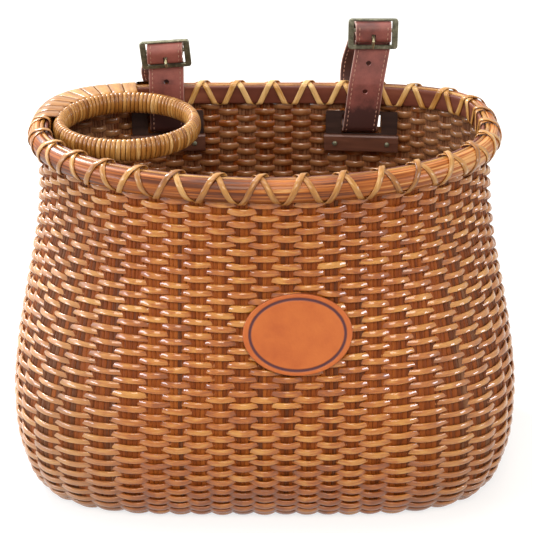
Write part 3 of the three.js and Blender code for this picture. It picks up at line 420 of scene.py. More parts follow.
def paintedPaleAt(points):
    # painted sheen and light: a smooth step over x towards each end
    x = points[:, 0]
    left = paintedPaleEnds["left"] * smooth((-x - paintedPaleEnds["leftFrom"]) / paintedPaleEnds["leftOver"])
    return left + paintedPaleEnds["right"] * smooth((x - paintedPaleEnds["rightFrom"]) / paintedPaleEnds["rightOver"])


def nearEnds(points):
    # 0 along the middle, a smooth step up to 1 at both ends
    return smooth((np.abs(points[..., 0]) - ends["start"]) / ends["over"])


def strandPiece(name, material, slotName, strands, section, tone, sideTone=0.0, wide=1.0, tall=1.0,
                closed=False, replaced=(), paintedPaleShare=None):
    # strands = paths with their across and out directions, swept and placed as one piece
    # a piece of the wall takes a share of the painted paleness at the ends, and is left open at the slots
    points, faces = sweepStrands(*strands, section, wide, tall, closed)
    attributes = strandAttributes(strands[0], len(section), tone, sideTone)
    if paintedPaleShare is not None:
        attributes["paintedLight"] = paintedPaleAt(points) * paintedPaleShare
        faces = outsideSlots(points, faces)
    place(meshObject(name, points, faces, material, attributes), slotName, *replaced)


# weavers: rows of flat-oval cane, over one stake and under the next, and the other way in the next row
# out from the wall = amplitude * tanh(turnIn * (cos + reach)) / tanh(turnIn): broad floats, short dips
weave = dict(tall=4.0, thick=2.4, power=3.6, amplitude=1.95, inset=2.9, turnIn=0.7, reach=0.2, lean=0.16,
             turns=[0, 25, 50, 70, 90, 110, 130, 155, 180, 225, 270, 315],
             wobbleOut=0.14, wobbleDown=0.4, driftDown=0.26, fullness=1.02, uneven=0.09, rowUneven=0.03,
             packedBack=0.3, backOver=50.0, looseEnds=0.14, tone=0.55, rowTone=0.07, floatTone=0.063,
             driftTone=0.12, paintedDipShade=0.1, paintedBaseShade=0.22, baseRow=36, baseOver=18,
             sideTone=0.04, outerTone=0.06, innerTone=0.5)
rowIds = np.arange(body["rows"])
rowAt = rowIds * body["perRow"] + body["perRow"] // 2
rowPaths = skin[rowAt]
rowOut = skinOut[rowAt]
rowDown = skinDown[rowAt]
rowGrid = (body["rows"], columns)
phase = np.cos(np.pi * (column / body["perStake"] + rowIds[:, None]))
wave = np.tanh(weave["turnIn"] * (phase + weave["reach"])) / math.tanh(weave["turnIn"]) * weave["amplitude"]
wave = wave + wander(rowGrid, knots=90) * weave["wobbleOut"]
rowPaths = rowPaths + rowOut * (wave - weave["inset"])[..., None]
sag = wander(rowGrid, knots=60) * weave["wobbleDown"] + wander(rowGrid, knots=9) * weave["driftDown"]
rowPaths = rowPaths + rowDown * sag[..., None]
rowTall = weave["fullness"] + wander(rowGrid, knots=80) * weave["uneven"]
rowTall = rowTall + rng.normal(0, weave["rowUneven"], (body["rows"], 1))
inBack = smooth(rowPaths[..., 1] / weave["backOver"])
rowTall = rowTall * (1 + weave["packedBack"] * inBack)  # packed closer in the back wall
rowTall = rowTall * (1 - weave["looseEnds"] * nearEnds(rowPaths))  # and looser at the ends
floatTone = rng.normal(0, weave["floatTone"], (body["rows"], body["stakes"]))
rowTone = weave["tone"] + rng.normal(0, weave["rowTone"], (body["rows"], 1))
rowTone = rowTone + np.repeat(floatTone, body["perStake"], 1)
# painted light and shade: float crowns paler, dips under the stakes darker
rowTone = rowTone + wander(rowGrid, knots=14) * weave["driftTone"] + weave["paintedDipShade"] * phase
# painted shade: rows darker towards the base
nearBase = smooth((rowIds - weave["baseRow"]) / weave["baseOver"])
rowTone = rowTone - weave["paintedBaseShade"] * nearBase[:, None]
outward = np.sin(np.radians(weave["turns"]))
weaverSides = weave["sideTone"] + weave["outerTone"] * outward  # paler outside, dull pith inside
weaverSides = weaverSides + weave["innerTone"] * np.minimum(outward, 0)
section = ovalSection(weave["tall"], weave["thick"], weave["turns"], weave["power"])
section[:, 1] -= weave["lean"] * section[:, 0] * (section[:, 1] > 0)  # outer faces look a little upward
backFirst = np.roll(column, columns // 2)  # a row starts and ends in the back wall
bands = ("weaversTop", "weaversUpper", "weaversLower", "weaversBottom")
for name, band in zip(bands, np.array_split(rowIds, len(bands))):
    rows = band[:, None], backFirst
    strands = rowPaths[rows], -rowDown[rows], rowOut[rows]
    strandPiece(name, weaverCane, "cane", strands, section, rowTone[rows], weaverSides, rowTall[rows],
                closed=True, replaced=["woven_wall"] if band[0] == 0 else [], paintedPaleShare=1.0)
print("weavers", body["rows"])

# stakes: each a flat bundle of five reeds from the rim down to the base, as wide as its room allows
# the stakes take a small share of the painted paleness at the ends
stake = dict(reeds=5, fill=0.93, overlap=1.35, thick=1.5, topZ=236.0, topSteps=6, rimShift=0.6, every=8,
             wobbleOut=0.22, wobbleSide=0.2, tone=0.5, reedTone=0.16, driftTone=0.08, paintedEndShade=0.2,
             topGap=1.0, sideTone=[0, 0, 0, 0, -0.45, -0.45], paintedPaleEnds=0.15)  # dull on the inner side
reedSides = len(stake["sideTone"])


def withTop(grid):
    # the first row repeated for the steps between the hoops
    return np.concatenate([np.repeat(grid[:, :1], stake["topSteps"], 1), grid], 1)


stakeColumns = np.arange(body["stakes"]) * body["perStake"]
halfPitch = body["perStake"] // 2
room = np.linalg.norm(np.roll(skin, -halfPitch, 1) - np.roll(skin, halfPitch, 1), axis=2)
onStakes = slice(None, None, stake["every"]), stakeColumns
room = withTop(room[onStakes].T) * stake["fill"] / stake["reeds"]
grids = (skin, skinOut, skinSide)
stakePath, stakeOut, stakeSide = [withTop(grid[onStakes].transpose(1, 0, 2)) for grid in grids]
stakePath = stakePath - stakeOut * weave["inset"]
stakeTop = stakePath[:, :stake["topSteps"]]
stakeTop -= stakeOut[:, :1] * stake["rimShift"] * [1, 1, 0]
stakeTop[..., 2] = np.linspace(stake["topZ"], body["topZ"] + stake["topGap"], stake["topSteps"])
spread = np.arange(stake["reeds"]) - (stake["reeds"] - 1) / 2
reedGrid = (body["stakes"] * stake["reeds"], stakePath.shape[1])
reedPath = stakePath[:, None] + stakeSide[:, None] * spread[:, None, None] * room[:, None, :, None]
reedPath = reedPath.reshape(*reedGrid, 3)
reedWide, reedOut, reedSide = [np.repeat(grid, stake["reeds"], 0) for grid in (room, stakeOut, stakeSide)]
reedPath = reedPath + reedOut * wander(reedGrid, knots=12)[..., None] * stake["wobbleOut"]
reedPath = reedPath + reedSide * wander(reedGrid, knots=10)[..., None] * stake["wobbleSide"]
reedTone = stake["tone"] + rng.normal(0, stake["reedTone"], (reedGrid[0], 1))
# painted shade: reeds darker towards the two ends, in the gaps between floats
reedTone = reedTone + wander(reedGrid, knots=16) * stake["driftTone"] - stake["paintedEndShade"] * nearEnds(reedPath)
section = ovalSection(1.0, stake["thick"], reedSides)
strandPiece("stakeReeds", stakeCane, "cane", (reedPath, reedSide, reedOut), section, reedTone,
            stake["sideTone"], reedWide * stake["overlap"], paintedPaleShare=stake["paintedPaleEnds"])
print("stakes", reedGrid)

# base: the same weave laid flat, rows along X, reeds along Y, both cut to the base outline
# rows rise and fall by amplitude * cos over the stake pitch, every other row the other way
mat = dict(rowPitch=4.9, stakePitch=13.6, stakesEachSide=11, reedPitch=2.35, reedWide=2.5, reedTall=2.0,
           middleZ=3.1, amplitude=1.25, tall=4.9, thick=2.2, sides=6, steps=160, reedSteps=60,
           frontMargin=3.0, backMargin=2.0, sideMargin=3.0,
           tone=0.5, rowTone=0.1, driftTone=0.12, reedTone=0.14)
baseHalf, baseFront, baseBack, basePower = levelShape(0.0, np.pi / 2)


def chord(v, reach, other, power):
    # half length of the outline where one coordinate is v: other * (1 - (v/reach)^n)^(1/n)
    return other * (1 - np.minimum(np.abs(v) / reach, 1) ** power) ** (1 / power)


rowY = np.arange(-baseFront + mat["frontMargin"], baseBack - mat["backMargin"], mat["rowPitch"])
frontReach = chord(rowY, baseFront, baseHalf, basePower)
backReach = chord(rowY, baseBack, baseHalf, body["backPower"])
x = np.linspace(-1, 1, mat["steps"]) * np.where(rowY < 0, frontReach, backReach)[:, None]
lift = mat["amplitude"] * np.cos(np.pi * (x / mat["stakePitch"] + np.arange(len(rowY))[:, None]))
paths = np.stack([x, np.broadcast_to(rowY[:, None], x.shape), mat["middleZ"] + lift], -1)
sideways = np.broadcast_to([0.0, 1.0, 0.0], paths.shape)
upward = np.broadcast_to([0.0, 0.0, 1.0], paths.shape)
section = ovalSection(mat["tall"], mat["thick"], mat["sides"])
tone = mat["tone"] + rng.normal(0, mat["rowTone"], (len(rowY), 1))
tone = tone + wander(x.shape, knots=20) * mat["driftTone"]
strandPiece("baseWeavers", weaverCane, "cane", (paths, sideways, upward), section, tone,
            replaced=["woven_base"])
stakeX = np.arange(-mat["stakesEachSide"], mat["stakesEachSide"] + 1) * mat["stakePitch"]
reedX = (stakeX[:, None] + spread * mat["reedPitch"]).ravel()
reedX = reedX[np.abs(reedX) < baseHalf - mat["sideMargin"]]
frontEnd = -chord(reedX, baseHalf, baseFront, basePower)
backEnd = chord(reedX, baseHalf, baseBack, body["backPower"])
y = frontEnd[:, None] + (backEnd - frontEnd)[:, None] * np.linspace(0, 1, mat["reedSteps"])
paths = np.stack([np.broadcast_to(reedX[:, None], y.shape), y, np.full(y.shape, mat["middleZ"])], -1)
sideways = np.broadcast_to([-1.0, 0.0, 0.0], paths.shape)
upward = np.broadcast_to([0.0, 0.0, 1.0], paths.shape)
tone = mat["tone"] + rng.normal(0, mat["reedTone"], (len(reedX), 1))
section = ovalSection(mat["reedWide"], mat["reedTall"], reedSides)
strandPiece("baseReeds", stakeCane, "cane", (paths, sideways, upward), section, tone)
print("base")

# rim: points at a station along the rim, moved out from the stakes' outer face and down from the top
rim = dict(height=body["height"], stakes=3.0, gap=0.3, hoopThick=7.2, hoopTall=15.0, hoopDrop=1.0,
           hoopPower=0.9, hoopPoints=22, innerThick=2.6, innerTall=13.0, innerDrop=1.6, innerSides=20,
           innerPower=5.0, fillerDrop=2.2, fillerSides=12, steps=480, seam=545.0, toneVary=0.25)
hoopCentre = rim["hoopDrop"] + rim["hoopTall"] / 2
hoopBottom = rim["hoopDrop"] + rim["hoopTall"]
innerFace = -(rim["stakes"] + rim["gap"] + rim["innerThick"])
innerBottom = rim["innerDrop"] + rim["innerTall"]


def rimOutline(station):
    # plan point at a distance along the rim, which goes round and round
    return pointsAt(np.mod(station, rimTotal), rimLength, rimPlan)


def rimNormal(station):
    # outward direction: the chord over 3 mm turned by a right angle
    along = unit(rimOutline(station + 1.5) - rimOutline(station - 1.5))
    return np.stack([along[..., 1], -along[..., 0]], -1)


def rimPoint(station, out, drop):
    # plan point + normal * out, at the rim's height - drop
    plan = rimOutline(station) + rimNormal(station) * np.asarray(out)[..., None]
    z = np.broadcast_to(rim["height"] - np.asarray(drop), plan.shape[:-1])
    return np.concatenate([plan, z[..., None]], -1)


def hoopRound(name, profile, material, slotName, node, toneKnots, tone):
    # closed section of (out, drop) carried round the rim; its ends meet under the ring's binding
    station = rim["seam"] + np.arange(rim["steps"]) / rim["steps"] * rimTotal
    rings = rimPoint(station[:, None], profile[None, :, 0], profile[None, :, 1])
    tones = tone + wander((1, rim["steps"]), toneKnots) * rim["toneVary"]
    attributes = strandAttributes(rings[:, 0], len(profile), tones)
    faces = ringFaces(1, rim["steps"], len(profile), True)
    place(meshObject(name, rings.reshape(-1, 3), faces, material, attributes), slotName, node)


turn = np.linspace(np.pi / 2, -np.pi / 2, rim["hoopPoints"])
halfOval = np.stack([rim["gap"] + rim["hoopThick"] * np.cos(turn) ** rim["hoopPower"],
                     hoopCentre - rim["hoopTall"] / 2 * np.sin(turn)], 1)
hoopRound("outerHoop", halfOval, hoopCane, "hoop_cane", "outer_rim_hoop", toneKnots=24, tone=0.4)
flatStrip = ovalSection(rim["innerThick"], rim["innerTall"], rim["innerSides"], rim["innerPower"])[::-1]
flatStrip = flatStrip + [innerFace + rim["innerThick"] / 2, rim["innerDrop"] + rim["innerTall"] / 2]
hoopRound("innerHoop", flatStrip, darkCane, "dark_cane", "inner_rim_hoop", toneKnots=20, tone=0.5)
roundReed = ovalSection(rim["stakes"], rim["stakes"], rim["fillerSides"]) * [1, -1]
roundReed = roundReed + [-rim["stakes"] / 2, rim["fillerDrop"]]
hoopRound("fillerReed", roundReed, paleCane, "pale_cane", "rim_filler_reed", toneKnots=40, tone=0.5)
print("rim hoops")

# flat strips: a squared oval section, with painted shade a little darker along both edges
strip = dict(sides=8, power=4.0, edgeTone=0.3)
paintedStripEdgeShade = -strip["edgeTone"] * np.cos(np.arange(strip["sides"]) / strip["sides"] * 2 * np.pi) ** 4
hoopAngles = np.radians([60, 30, 0, -30, -60])  # corners of a strip over the outer hoop


def overHoop(grow):
    # corners round the outer hoop: out = gap + (thick + grow) * cos, drop = centre - (tall/2 + grow) * sin
    return np.stack([rim["gap"] + (rim["hoopThick"] + grow) * np.cos(hoopAngles),
                     hoopCentre - (rim["hoopTall"] / 2 + grow) * np.sin(hoopAngles)], 1)


def smoothLoop(loop, samples, width):
    # corners of a closed polygon rounded by a running mean over its length
    closed = np.concatenate([loop, loop[:1]])
    length = runningLength(closed)
    dense = pointsAt(np.linspace(0, length[-1], samples, endpoint=False), length, closed)
    padded = np.concatenate([dense[-width:], dense, dense[:width]])
    kernel = np.ones(width) / width
    return np.stack([np.convolve(padded[:, i], kernel, "same")[width:-width] for i in (0, 1)], 1)


# lashings: two strips, one wound each way, crossing on the rim top and under the hoops
# some turns stand at listed stations, the rest lie evenly between them
lash = dict(width=3.9, thick=0.8, offset=0.7, lift=1.0, samples=64, rounding=5, tip=0.05,
            topDrop=0.3, underIn=0.8, underLift=0.5, windowDrop=1.2, innerDrop=0.2,
            stations=[588.0, 735.0, 815.0, 866.0, 943.0, 1074.0, 1226.5, 1264.5],
            turns=[0.0, 6.0, 9.0, 11.0, 14.0, 19.5, 25.5, 27.0],
            tone=0.6, driftTone=0.22, paintedBackLight=0.3, backOver=70.0)


def lashLoop(lift):
    # corners of one turn as (out, drop): rim top, round the outer hoop, under it, and up the inner hoop
    offset = lash["offset"]
    middle = -rim["stakes"] / 2
    inside = innerFace - offset
    return np.array([
        [middle, lash["topDrop"] - offset - lift],
        *overHoop(offset + np.array([lift, 0, 0, 0, lift])),
        [middle + lash["underIn"], hoopBottom + offset + lift * lash["underLift"]],
        [-rim["stakes"], innerBottom + lash["windowDrop"]],
        [inside, innerBottom + lash["innerDrop"]],
        [inside, rim["innerDrop"] - offset - lift],
    ])


def makeLashing(name, lift, direction, node):
    # the loop walked round and round while the station moves on
    loop = smoothLoop(lashLoop(lift), lash["samples"], lash["rounding"])
    facing = np.roll(loop, -1, 0) - np.roll(loop, 1, 0)
    facing = unit(np.stack([facing[:, 1], -facing[:, 0]], 1))
    turnsMade = int(lash["turns"][-1])
    step = np.arange(turnsMade * lash["samples"] + 1)
    i = np.mod(np.argmax(loop[:, 1]) + direction * step, lash["samples"])  # from the lowest point
    station = np.interp(step / lash["samples"], lash["turns"], lash["stations"])
    path = rimPoint(station, loop[i, 0], loop[i, 1])
    out = np.concatenate([rimNormal(station) * facing[i, :1], -facing[i, 1:]], 1)
    along = unit(np.gradient(path, axis=0))
    out = unit(out - along * (out * along).sum(1, keepdims=True))
    taper = np.ones(len(step))
    taper[[0, -1]] = lash["tip"]
    section = ovalSection(lash["width"], lash["thick"], strip["sides"], strip["power"])
    tone = lash["tone"] + wander((1, len(step)), turnsMade * 3) * lash["driftTone"]
    # painted light: the lashings are paler at the back, where the back band is lit
    tone = tone + lash["paintedBackLight"] * smooth(path[:, 1] / lash["backOver"])  # paler at the back
    strandPiece(name, paleCane, "pale_cane", (path, np.cross(out, along), out), section, tone, paintedStripEdgeShade,
                taper, taper, replaced=[node])


makeLashing("lashingForward", 0.0, 1, "rim_lashing_forward")
makeLashing("lashingReverse", lash["lift"], -1, "rim_lashing_reverse")
print("lashings")

# cup ring: an oval bar bent to a circle, wound closely with split cane
# winding: ring centre + outward * (radius + a * cos) + up * b * sin, moving on by one strip each turn
ring = dict(x=-93.65, y=5.5, inner=40.9, radial=9.3, tall=15.3, drop=6.5, turns=92, perTurn=18, thick=1.4,
            power=3.0, start=135.0, overrun=0.1, fill=0.97, uneven=0.05, tone=0.57, driftTone=0.24,
            coreRadial=7.1, coreTall=13.1, coreSteps=96, coreSides=16, coreTone=0.5)
ringCentre = np.array([ring["x"], ring["y"], rim["height"] - ring["drop"]])
ringRadius = ring["inner"] + ring["radial"] / 2


def ringFrame(angle):
    # outward and upward directions of the ring at an angle
    outward = np.stack([np.cos(angle), np.sin(angle), np.zeros_like(angle)], 1)
    return outward, np.broadcast_to([0.0, 0.0, 1.0], outward.shape)


wound = np.arange(ring["turns"] * ring["perTurn"] + 1) / ring["perTurn"]
ringTurn = np.radians(ring["start"]) + wound / (ring["turns"] + ring["overrun"]) * 2 * np.pi
outward, upward = ringFrame(ringTurn)
cosine, sine = np.cos(wound * 2 * np.pi)[:, None], np.sin(wound * 2 * np.pi)[:, None]
reach = ringRadius + (ring["radial"] - ring["thick"]) / 2 * cosine
path = ringCentre + outward * reach + upward * (ring["tall"] - ring["thick"]) / 2 * sine
out = unit(outward * cosine / ring["radial"] + upward * sine / ring["tall"])
turnWidth = ring["fill"] + wander((1, len(wound)), ring["turns"]) * ring["uneven"]
turnWidth = turnWidth * 2 * np.pi * reach.T / ring["turns"]
section = ovalSection(1.0, ring["thick"], strip["sides"], ring["power"])
tone = ring["tone"] + wander((1, len(wound)), ring["turns"] * 2) * ring["driftTone"]
strandPiece("ringWhipping", paleCane, "pale_cane", (path, np.cross(outward, upward), out), section, tone,
            paintedStripEdgeShade, turnWidth, replaced=["cup_ring_whipping"])
outward, upward = ringFrame(np.arange(ring["coreSteps"]) / ring["coreSteps"] * 2 * np.pi)
path = ringCentre + outward * ringRadius
section = ovalSection(ring["coreRadial"], ring["coreTall"], ring["coreSides"])
strandPiece("ringCore", darkCane, "cane", (path, outward, upward), section[::-1], ring["coreTone"],
            closed=True, replaced=["cup_ring_core"])
print("cup ring")

# binding: flat strips round the rim and the ring together
bind = dict(turns=10.5, width=10.2, thick=1.1, start=490.0, end=601.0, samples=60, grow=0.9, topDrop=-1.4,
            under=1.2, ringSlack=0.2, rounding=5, moveFrom=6, moveTo=8, insideAt=(-6.0, 9.0),
            tone=0.62, driftTone=0.14)


def bindPolygon(station):
    # corners at each station as (out, drop): rim top, round the outer hoop, under it, up the ring's middle
    toRing = rimOutline(station) - ringCentre[:2]
    along = (toRing * rimNormal(station)).sum(-1)
    inward = np.sqrt(np.maximum(along ** 2 - (toRing * toRing).sum(-1) + ringRadius ** 2, 0)) - along
    halfTall = ring["tall"] / 2 - bind["ringSlack"]
    middle = -rim["stakes"] / 2
    fixed = [[middle, bind["topDrop"]], *overHoop(bind["grow"]), [middle, hoopBottom + bind["under"]]]
    corners = np.broadcast_to(np.array(fixed), (len(station), len(fixed), 2))
    drops = np.broadcast_to(ring["drop"] + halfTall * np.array([1, 0, -1]), (len(station), 3))
    inside = np.stack([np.broadcast_to(inward[:, None], drops.shape), drops], -1)
    return np.concatenate([corners, inside], 1)  # (station, corner, 2)


bindRun = bind["end"] - bind["start"]
wound = np.arange(int(bind["turns"] * bind["samples"]) + 1) / bind["samples"]
middlePolygon = bindPolygon(np.array([bind["start"] + bindRun / 2]))[0]
lengths = np.linalg.norm(np.roll(middlePolygon, -1, 0) - middlePolygon, axis=1)
marks = np.concatenate([[0], lengths.cumsum()]) / lengths.sum()
moveStart, moveEnd = marks[bind["moveFrom"]], marks[bind["moveTo"]]
advance = smooth((np.mod(wound, 1) - moveStart) / (moveEnd - moveStart))  # moves on only under the rim
station = bind["start"] + bindRun / bind["turns"] * (np.floor(wound) + advance)
polygon = bindPolygon(station)
corners = polygon.shape[1]
spot = np.interp(np.mod(wound, 1), marks, np.arange(corners + 1))
low = np.minimum(spot.astype(int), corners - 1)
part = (spot - low)[:, None]
rows = np.arange(len(station))
flat = polygon[rows, low] * (1 - part) + polygon[rows, (low + 1) % corners] * part
kernel = np.ones(bind["rounding"]) / bind["rounding"]
keep = bind["rounding"] - 1  # points left as they are at both ends
flat[keep:-keep] = np.stack([np.convolve(flat[:, i], kernel, "same")[keep:-keep] for i in (0, 1)], 1)
path = rimPoint(station, flat[:, 0], flat[:, 1])
along = unit(np.gradient(path, axis=0))
# how far a point of the strip moves for one millimetre along the rim
nearby = rimPoint(station + 0.5, flat[:, 0], flat[:, 1]) - rimPoint(station - 0.5, flat[:, 0], flat[:, 1])
out = unit(np.cross(along, unit(nearby)))
fromMiddle = path - rimPoint(station, *bind["insideAt"])
out = out * np.sign((out * fromMiddle).sum(1, keepdims=True))
spacing = np.linalg.norm(nearby, axis=1) * bindRun / bind["turns"]
section = ovalSection(bind["width"], bind["thick"], strip["sides"], strip["power"])
narrower = np.minimum(spacing / bind["width"], 1)  # no wider than the room of a turn
tone = bind["tone"] + wander((1, len(station)), knots=40) * bind["driftTone"]
strandPiece("ringBinding", paleCane, "pale_cane", (path, np.cross(out, along), out), section, tone,
            paintedStripEdgeShade, narrower, replaced=["cup_ring_binding"])
print("binding")

# straps: a flat leather section along a bent path; corners of the path are rounded by arcs
strap = dict(width=25.0, thick=2.2, sides=28, power=9.0, step=0.8, arcStep=9.0, bendShare=0.49,
             heelBar=2.4, foldGap=0.2, gap=0.3, frameThick=2.4, opening=9.5, tipBar=3.0,
             slotZ=203.3, slotGap=1.4, runGap=2.0, threadGap=0.4, hoopGap=1.2, topRise=2.0,
             foot=(7.0, 13.0), entry=2.0, lead=2.0, threadDrop=1.7,
             radius=dict(shoulder=10, rear=30, foot=12, entry=5, slot=4, top=40, lead=10, thread=2, tongue=4),
             eyeCut=((-1.9, -4.4, -4.25), (1.9, 3.4, 4.25)), prongCut=((-1.5, -9.0, -9.0), (1.5, -3.0, -1.2)),
             holeDrop=4.4, holePitch=20.0, holeRadius=1.9, holeReach=6.0, holeSides=20,
             edgeFrom=11.7, edgeOver=0.8, shadeDrop=2.0, shadeOver=30.0,
             behindShade=0.4, behindFrom=6.0, behindOver=6.0)
# dim is painted shade below the rim, paintedLight is painted light above it
sides = {
    "left": dict(slotX=-70.8, strapX=-70.6, heelX=-70.4, lean=-4.5, rise=28.3,
                 rearX=-80.5, rearOff=14.0, rearRise=0.0, tilt=4.0, nod=15.0, holes=1, stub=2.8,
                 shoulder=(10.0, -4.0), bend=(2.9, 6.4), end=(8.6, 1.0), paintedLight=0.12, dim=0.8),
    "right": dict(slotX=70.5, strapX=68.9, heelX=76.6, lean=3.0, rise=41.0,
                  rearX=67.5, rearOff=16.0, rearRise=4.0, tilt=0.0, nod=0.0, holes=2, stub=9.0,
                  shoulder=(17.0, 2.4), bend=(3.8, 5.4), end=(8.5, 5.1), paintedLight=0.0, dim=0.6),
}
foldRadius = strap["heelBar"] * math.sqrt(0.5) + strap["foldGap"] + strap["thick"] / 2
tongueRadius = foldRadius + strap["thick"] + strap["gap"]
tipTop = strap["heelBar"] / 2 + strap["opening"]
strapZ = strap["slotZ"] + strap["thick"] / 2 + strap["slotGap"]


def bendPath(corners, radii, tilts):
    # straight runs joined by arcs: each corner is replaced by an arc of its radius, as far as the runs allow
    path, tilt = [corners[0]], [tilts[0]]
    for i in range(1, len(corners) - 1):
        back, ahead = corners[i - 1] - corners[i], corners[i + 1] - corners[i]
        reach = min(np.linalg.norm(back), np.linalg.norm(ahead)) * strap["bendShare"]
        back, ahead = unit(back), unit(ahead)
        turn = math.pi - math.acos(np.clip(back @ ahead, -1, 1))
        tangent = min(radii[i] * math.tan(turn / 2), reach)
        centre = corners[i] + unit(back + ahead) * tangent / math.tan(turn / 2) / math.cos(turn / 2)
        start, end = corners[i] + back * tangent - centre, corners[i] + ahead * tangent - centre
        count = max(2, math.ceil(turn / math.radians(strap["arcStep"])) + 1)
        share = np.linspace(0, 1, count)[:, None]
        arc = (start * np.sin((1 - share) * turn) + end * np.sin(share * turn)) / math.sin(turn)
        path.extend(centre + arc)
        tilt.extend([tilts[i]] * count)
    return np.array([*path, corners[-1]]), np.array([*tilt, tilts[-1]])


def strapPath(side):
    # from the stub at the heel bar over the buckle, down behind the wall, in at the slot, up to the tip bar
    s = sides[side]
    backOfRim = chord(s["slotX"], body["rimHalf"], body["rimBack"], body["backPower"])
    run = backOfRim + innerFace - (lash["thick"] + strap["runGap"] + strap["thick"] / 2)
    hoopBack = backOfRim + rim["hoopThick"] + rim["gap"] + strap["hoopGap"]
    heel = np.array([s["heelX"], run + s["lean"], rim["height"] + s["rise"]])
    behindTip = strap["frameThick"] / 2 + strap["threadGap"] + strap["thick"] / 2
    topZ = rim["height"] + strap["topRise"]
    topX = s["strapX"] + (heel[0] - s["strapX"]) * (topZ - strapZ) / (heel[2] - strapZ)
    c, n = math.cos(math.radians(s["nod"])), math.sin(math.radians(s["nod"]))

    def atHeel(y, z):
        # a point beside the heel bar, in the plane across it, turned with the nod of the buckle
        return heel + np.array([0, y * c - z * n, y * n + z * c])

    footOff, footRise = strap["foot"]
    radius = strap["radius"]
    corners = [  # point, radius of its bend, share of the buckle's tilt
        (atHeel(s["stub"], -foldRadius), 0, 1),
        (atHeel(-foldRadius, -foldRadius), foldRadius, 1),
        (atHeel(-foldRadius, foldRadius), foldRadius, 1),
        (atHeel(foldRadius, foldRadius), foldRadius, 1),
        (heel + [0, *s["shoulder"]], radius["shoulder"], 1),
        ([s["rearX"], hoopBack + s["rearOff"], rim["height"] + s["rearRise"]], radius["rear"], 0),
        ([s["strapX"], hoopBack + footOff, strapZ + footRise], radius["foot"], 0),
        ([s["strapX"], hoopBack + strap["entry"], strapZ], radius["entry"], 0),
        ([s["strapX"], run, strapZ], radius["slot"], 0),
        ([topX, run, topZ], radius["top"], 0),
        (atHeel(behindTip, -tipTop - strap["tipBar"] - strap["lead"]), radius["lead"], 1),
        (atHeel(behindTip, -tipTop + strap["threadDrop"]), radius["thread"], 1),
        (atHeel(-tongueRadius, -2 * foldRadius), radius["thread"], 1),
        (atHeel(-tongueRadius, tongueRadius), tongueRadius, 1),
        (heel + [0, *s["bend"]], radius["tongue"], 1),
        (heel + [0, *s["end"]], 0, 1),
    ]
    points, radii, tilts = zip(*corners)
    path, tilt = bendPath(np.array(points), radii, np.array(tilts) * s["tilt"])
    length = runningLength(path)
    even = np.linspace(0, length[-1], int(length[-1] / strap["step"]) + 1)
    return heel, run, pointsAt(even, length, path), np.interp(even, length, tilt), even


def cutObject(piece, cutters):
    # boolean cuts applied to the mesh, cutters removed
    for cutter in cutters:
        modifier = piece.modifiers.new("cut", "BOOLEAN")
        modifier.object = cutter
        modifier.operation = "DIFFERENCE"
        modifier.solver = "EXACT"
    bpy.context.view_layer.update()
    evaluated = piece.evaluated_get(bpy.context.evaluated_depsgraph_get())
    cutMesh = bpy.data.meshes.new_from_object(evaluated)
    cutMesh.set_sharp_from_angle(angle=math.radians(40))
    piece.modifiers.clear()
    piece.data = cutMesh
    for cutter in cutters:
        bpy.data.objects.remove(cutter)


def boxCutter(low, high, tilt, nod, origin):
    # box between two corners, turned by the nod about X and the tilt about Y, then moved to the origin
    corners = np.stack(np.meshgrid(*zip(low, high), indexing="ij"), -1).reshape(-1, 3)
    c, s = math.cos(math.radians(nod)), math.sin(math.radians(nod))
    corners = corners @ np.array([[1, 0, 0], [0, c, s], [0, -s, c]])
    c, s = math.cos(math.radians(tilt)), math.sin(math.radians(tilt))
    corners = corners @ np.array([[c, 0, s], [0, 1, 0], [-s, 0, c]]) + origin
    faces = np.array([[0, 1, 3, 2], [4, 6, 7, 5], [0, 4, 5, 1], [2, 3, 7, 6], [0, 2, 6, 4], [1, 5, 7, 3]])
    return meshObject("cutter", corners, faces, strapLeather)


def holeCutter(centre):
    # round pin along Y with a middle point in each cap
    count, reach = strap["holeSides"], [0, strap["holeReach"], 0]
    a = np.arange(count) / count * 2 * np.pi
    circle = np.stack([np.cos(a), np.zeros(count), np.sin(a)], 1) * strap["holeRadius"]
    points = np.concatenate([circle - reach, circle + reach, -np.array([reach]), [reach]]) + centre
    i = np.arange(count)
    j = (i + 1) % count
    corners = [(i, j, j + count), (i, j + count, i + count), (j, i, np.full(count, 2 * count)),
               (i + count, j + count, np.full(count, 2 * count + 1))]
    faces = np.concatenate([np.stack(three, 1) for three in corners])
    return meshObject("cutter", points, faces[:, ::-1], strapLeather)


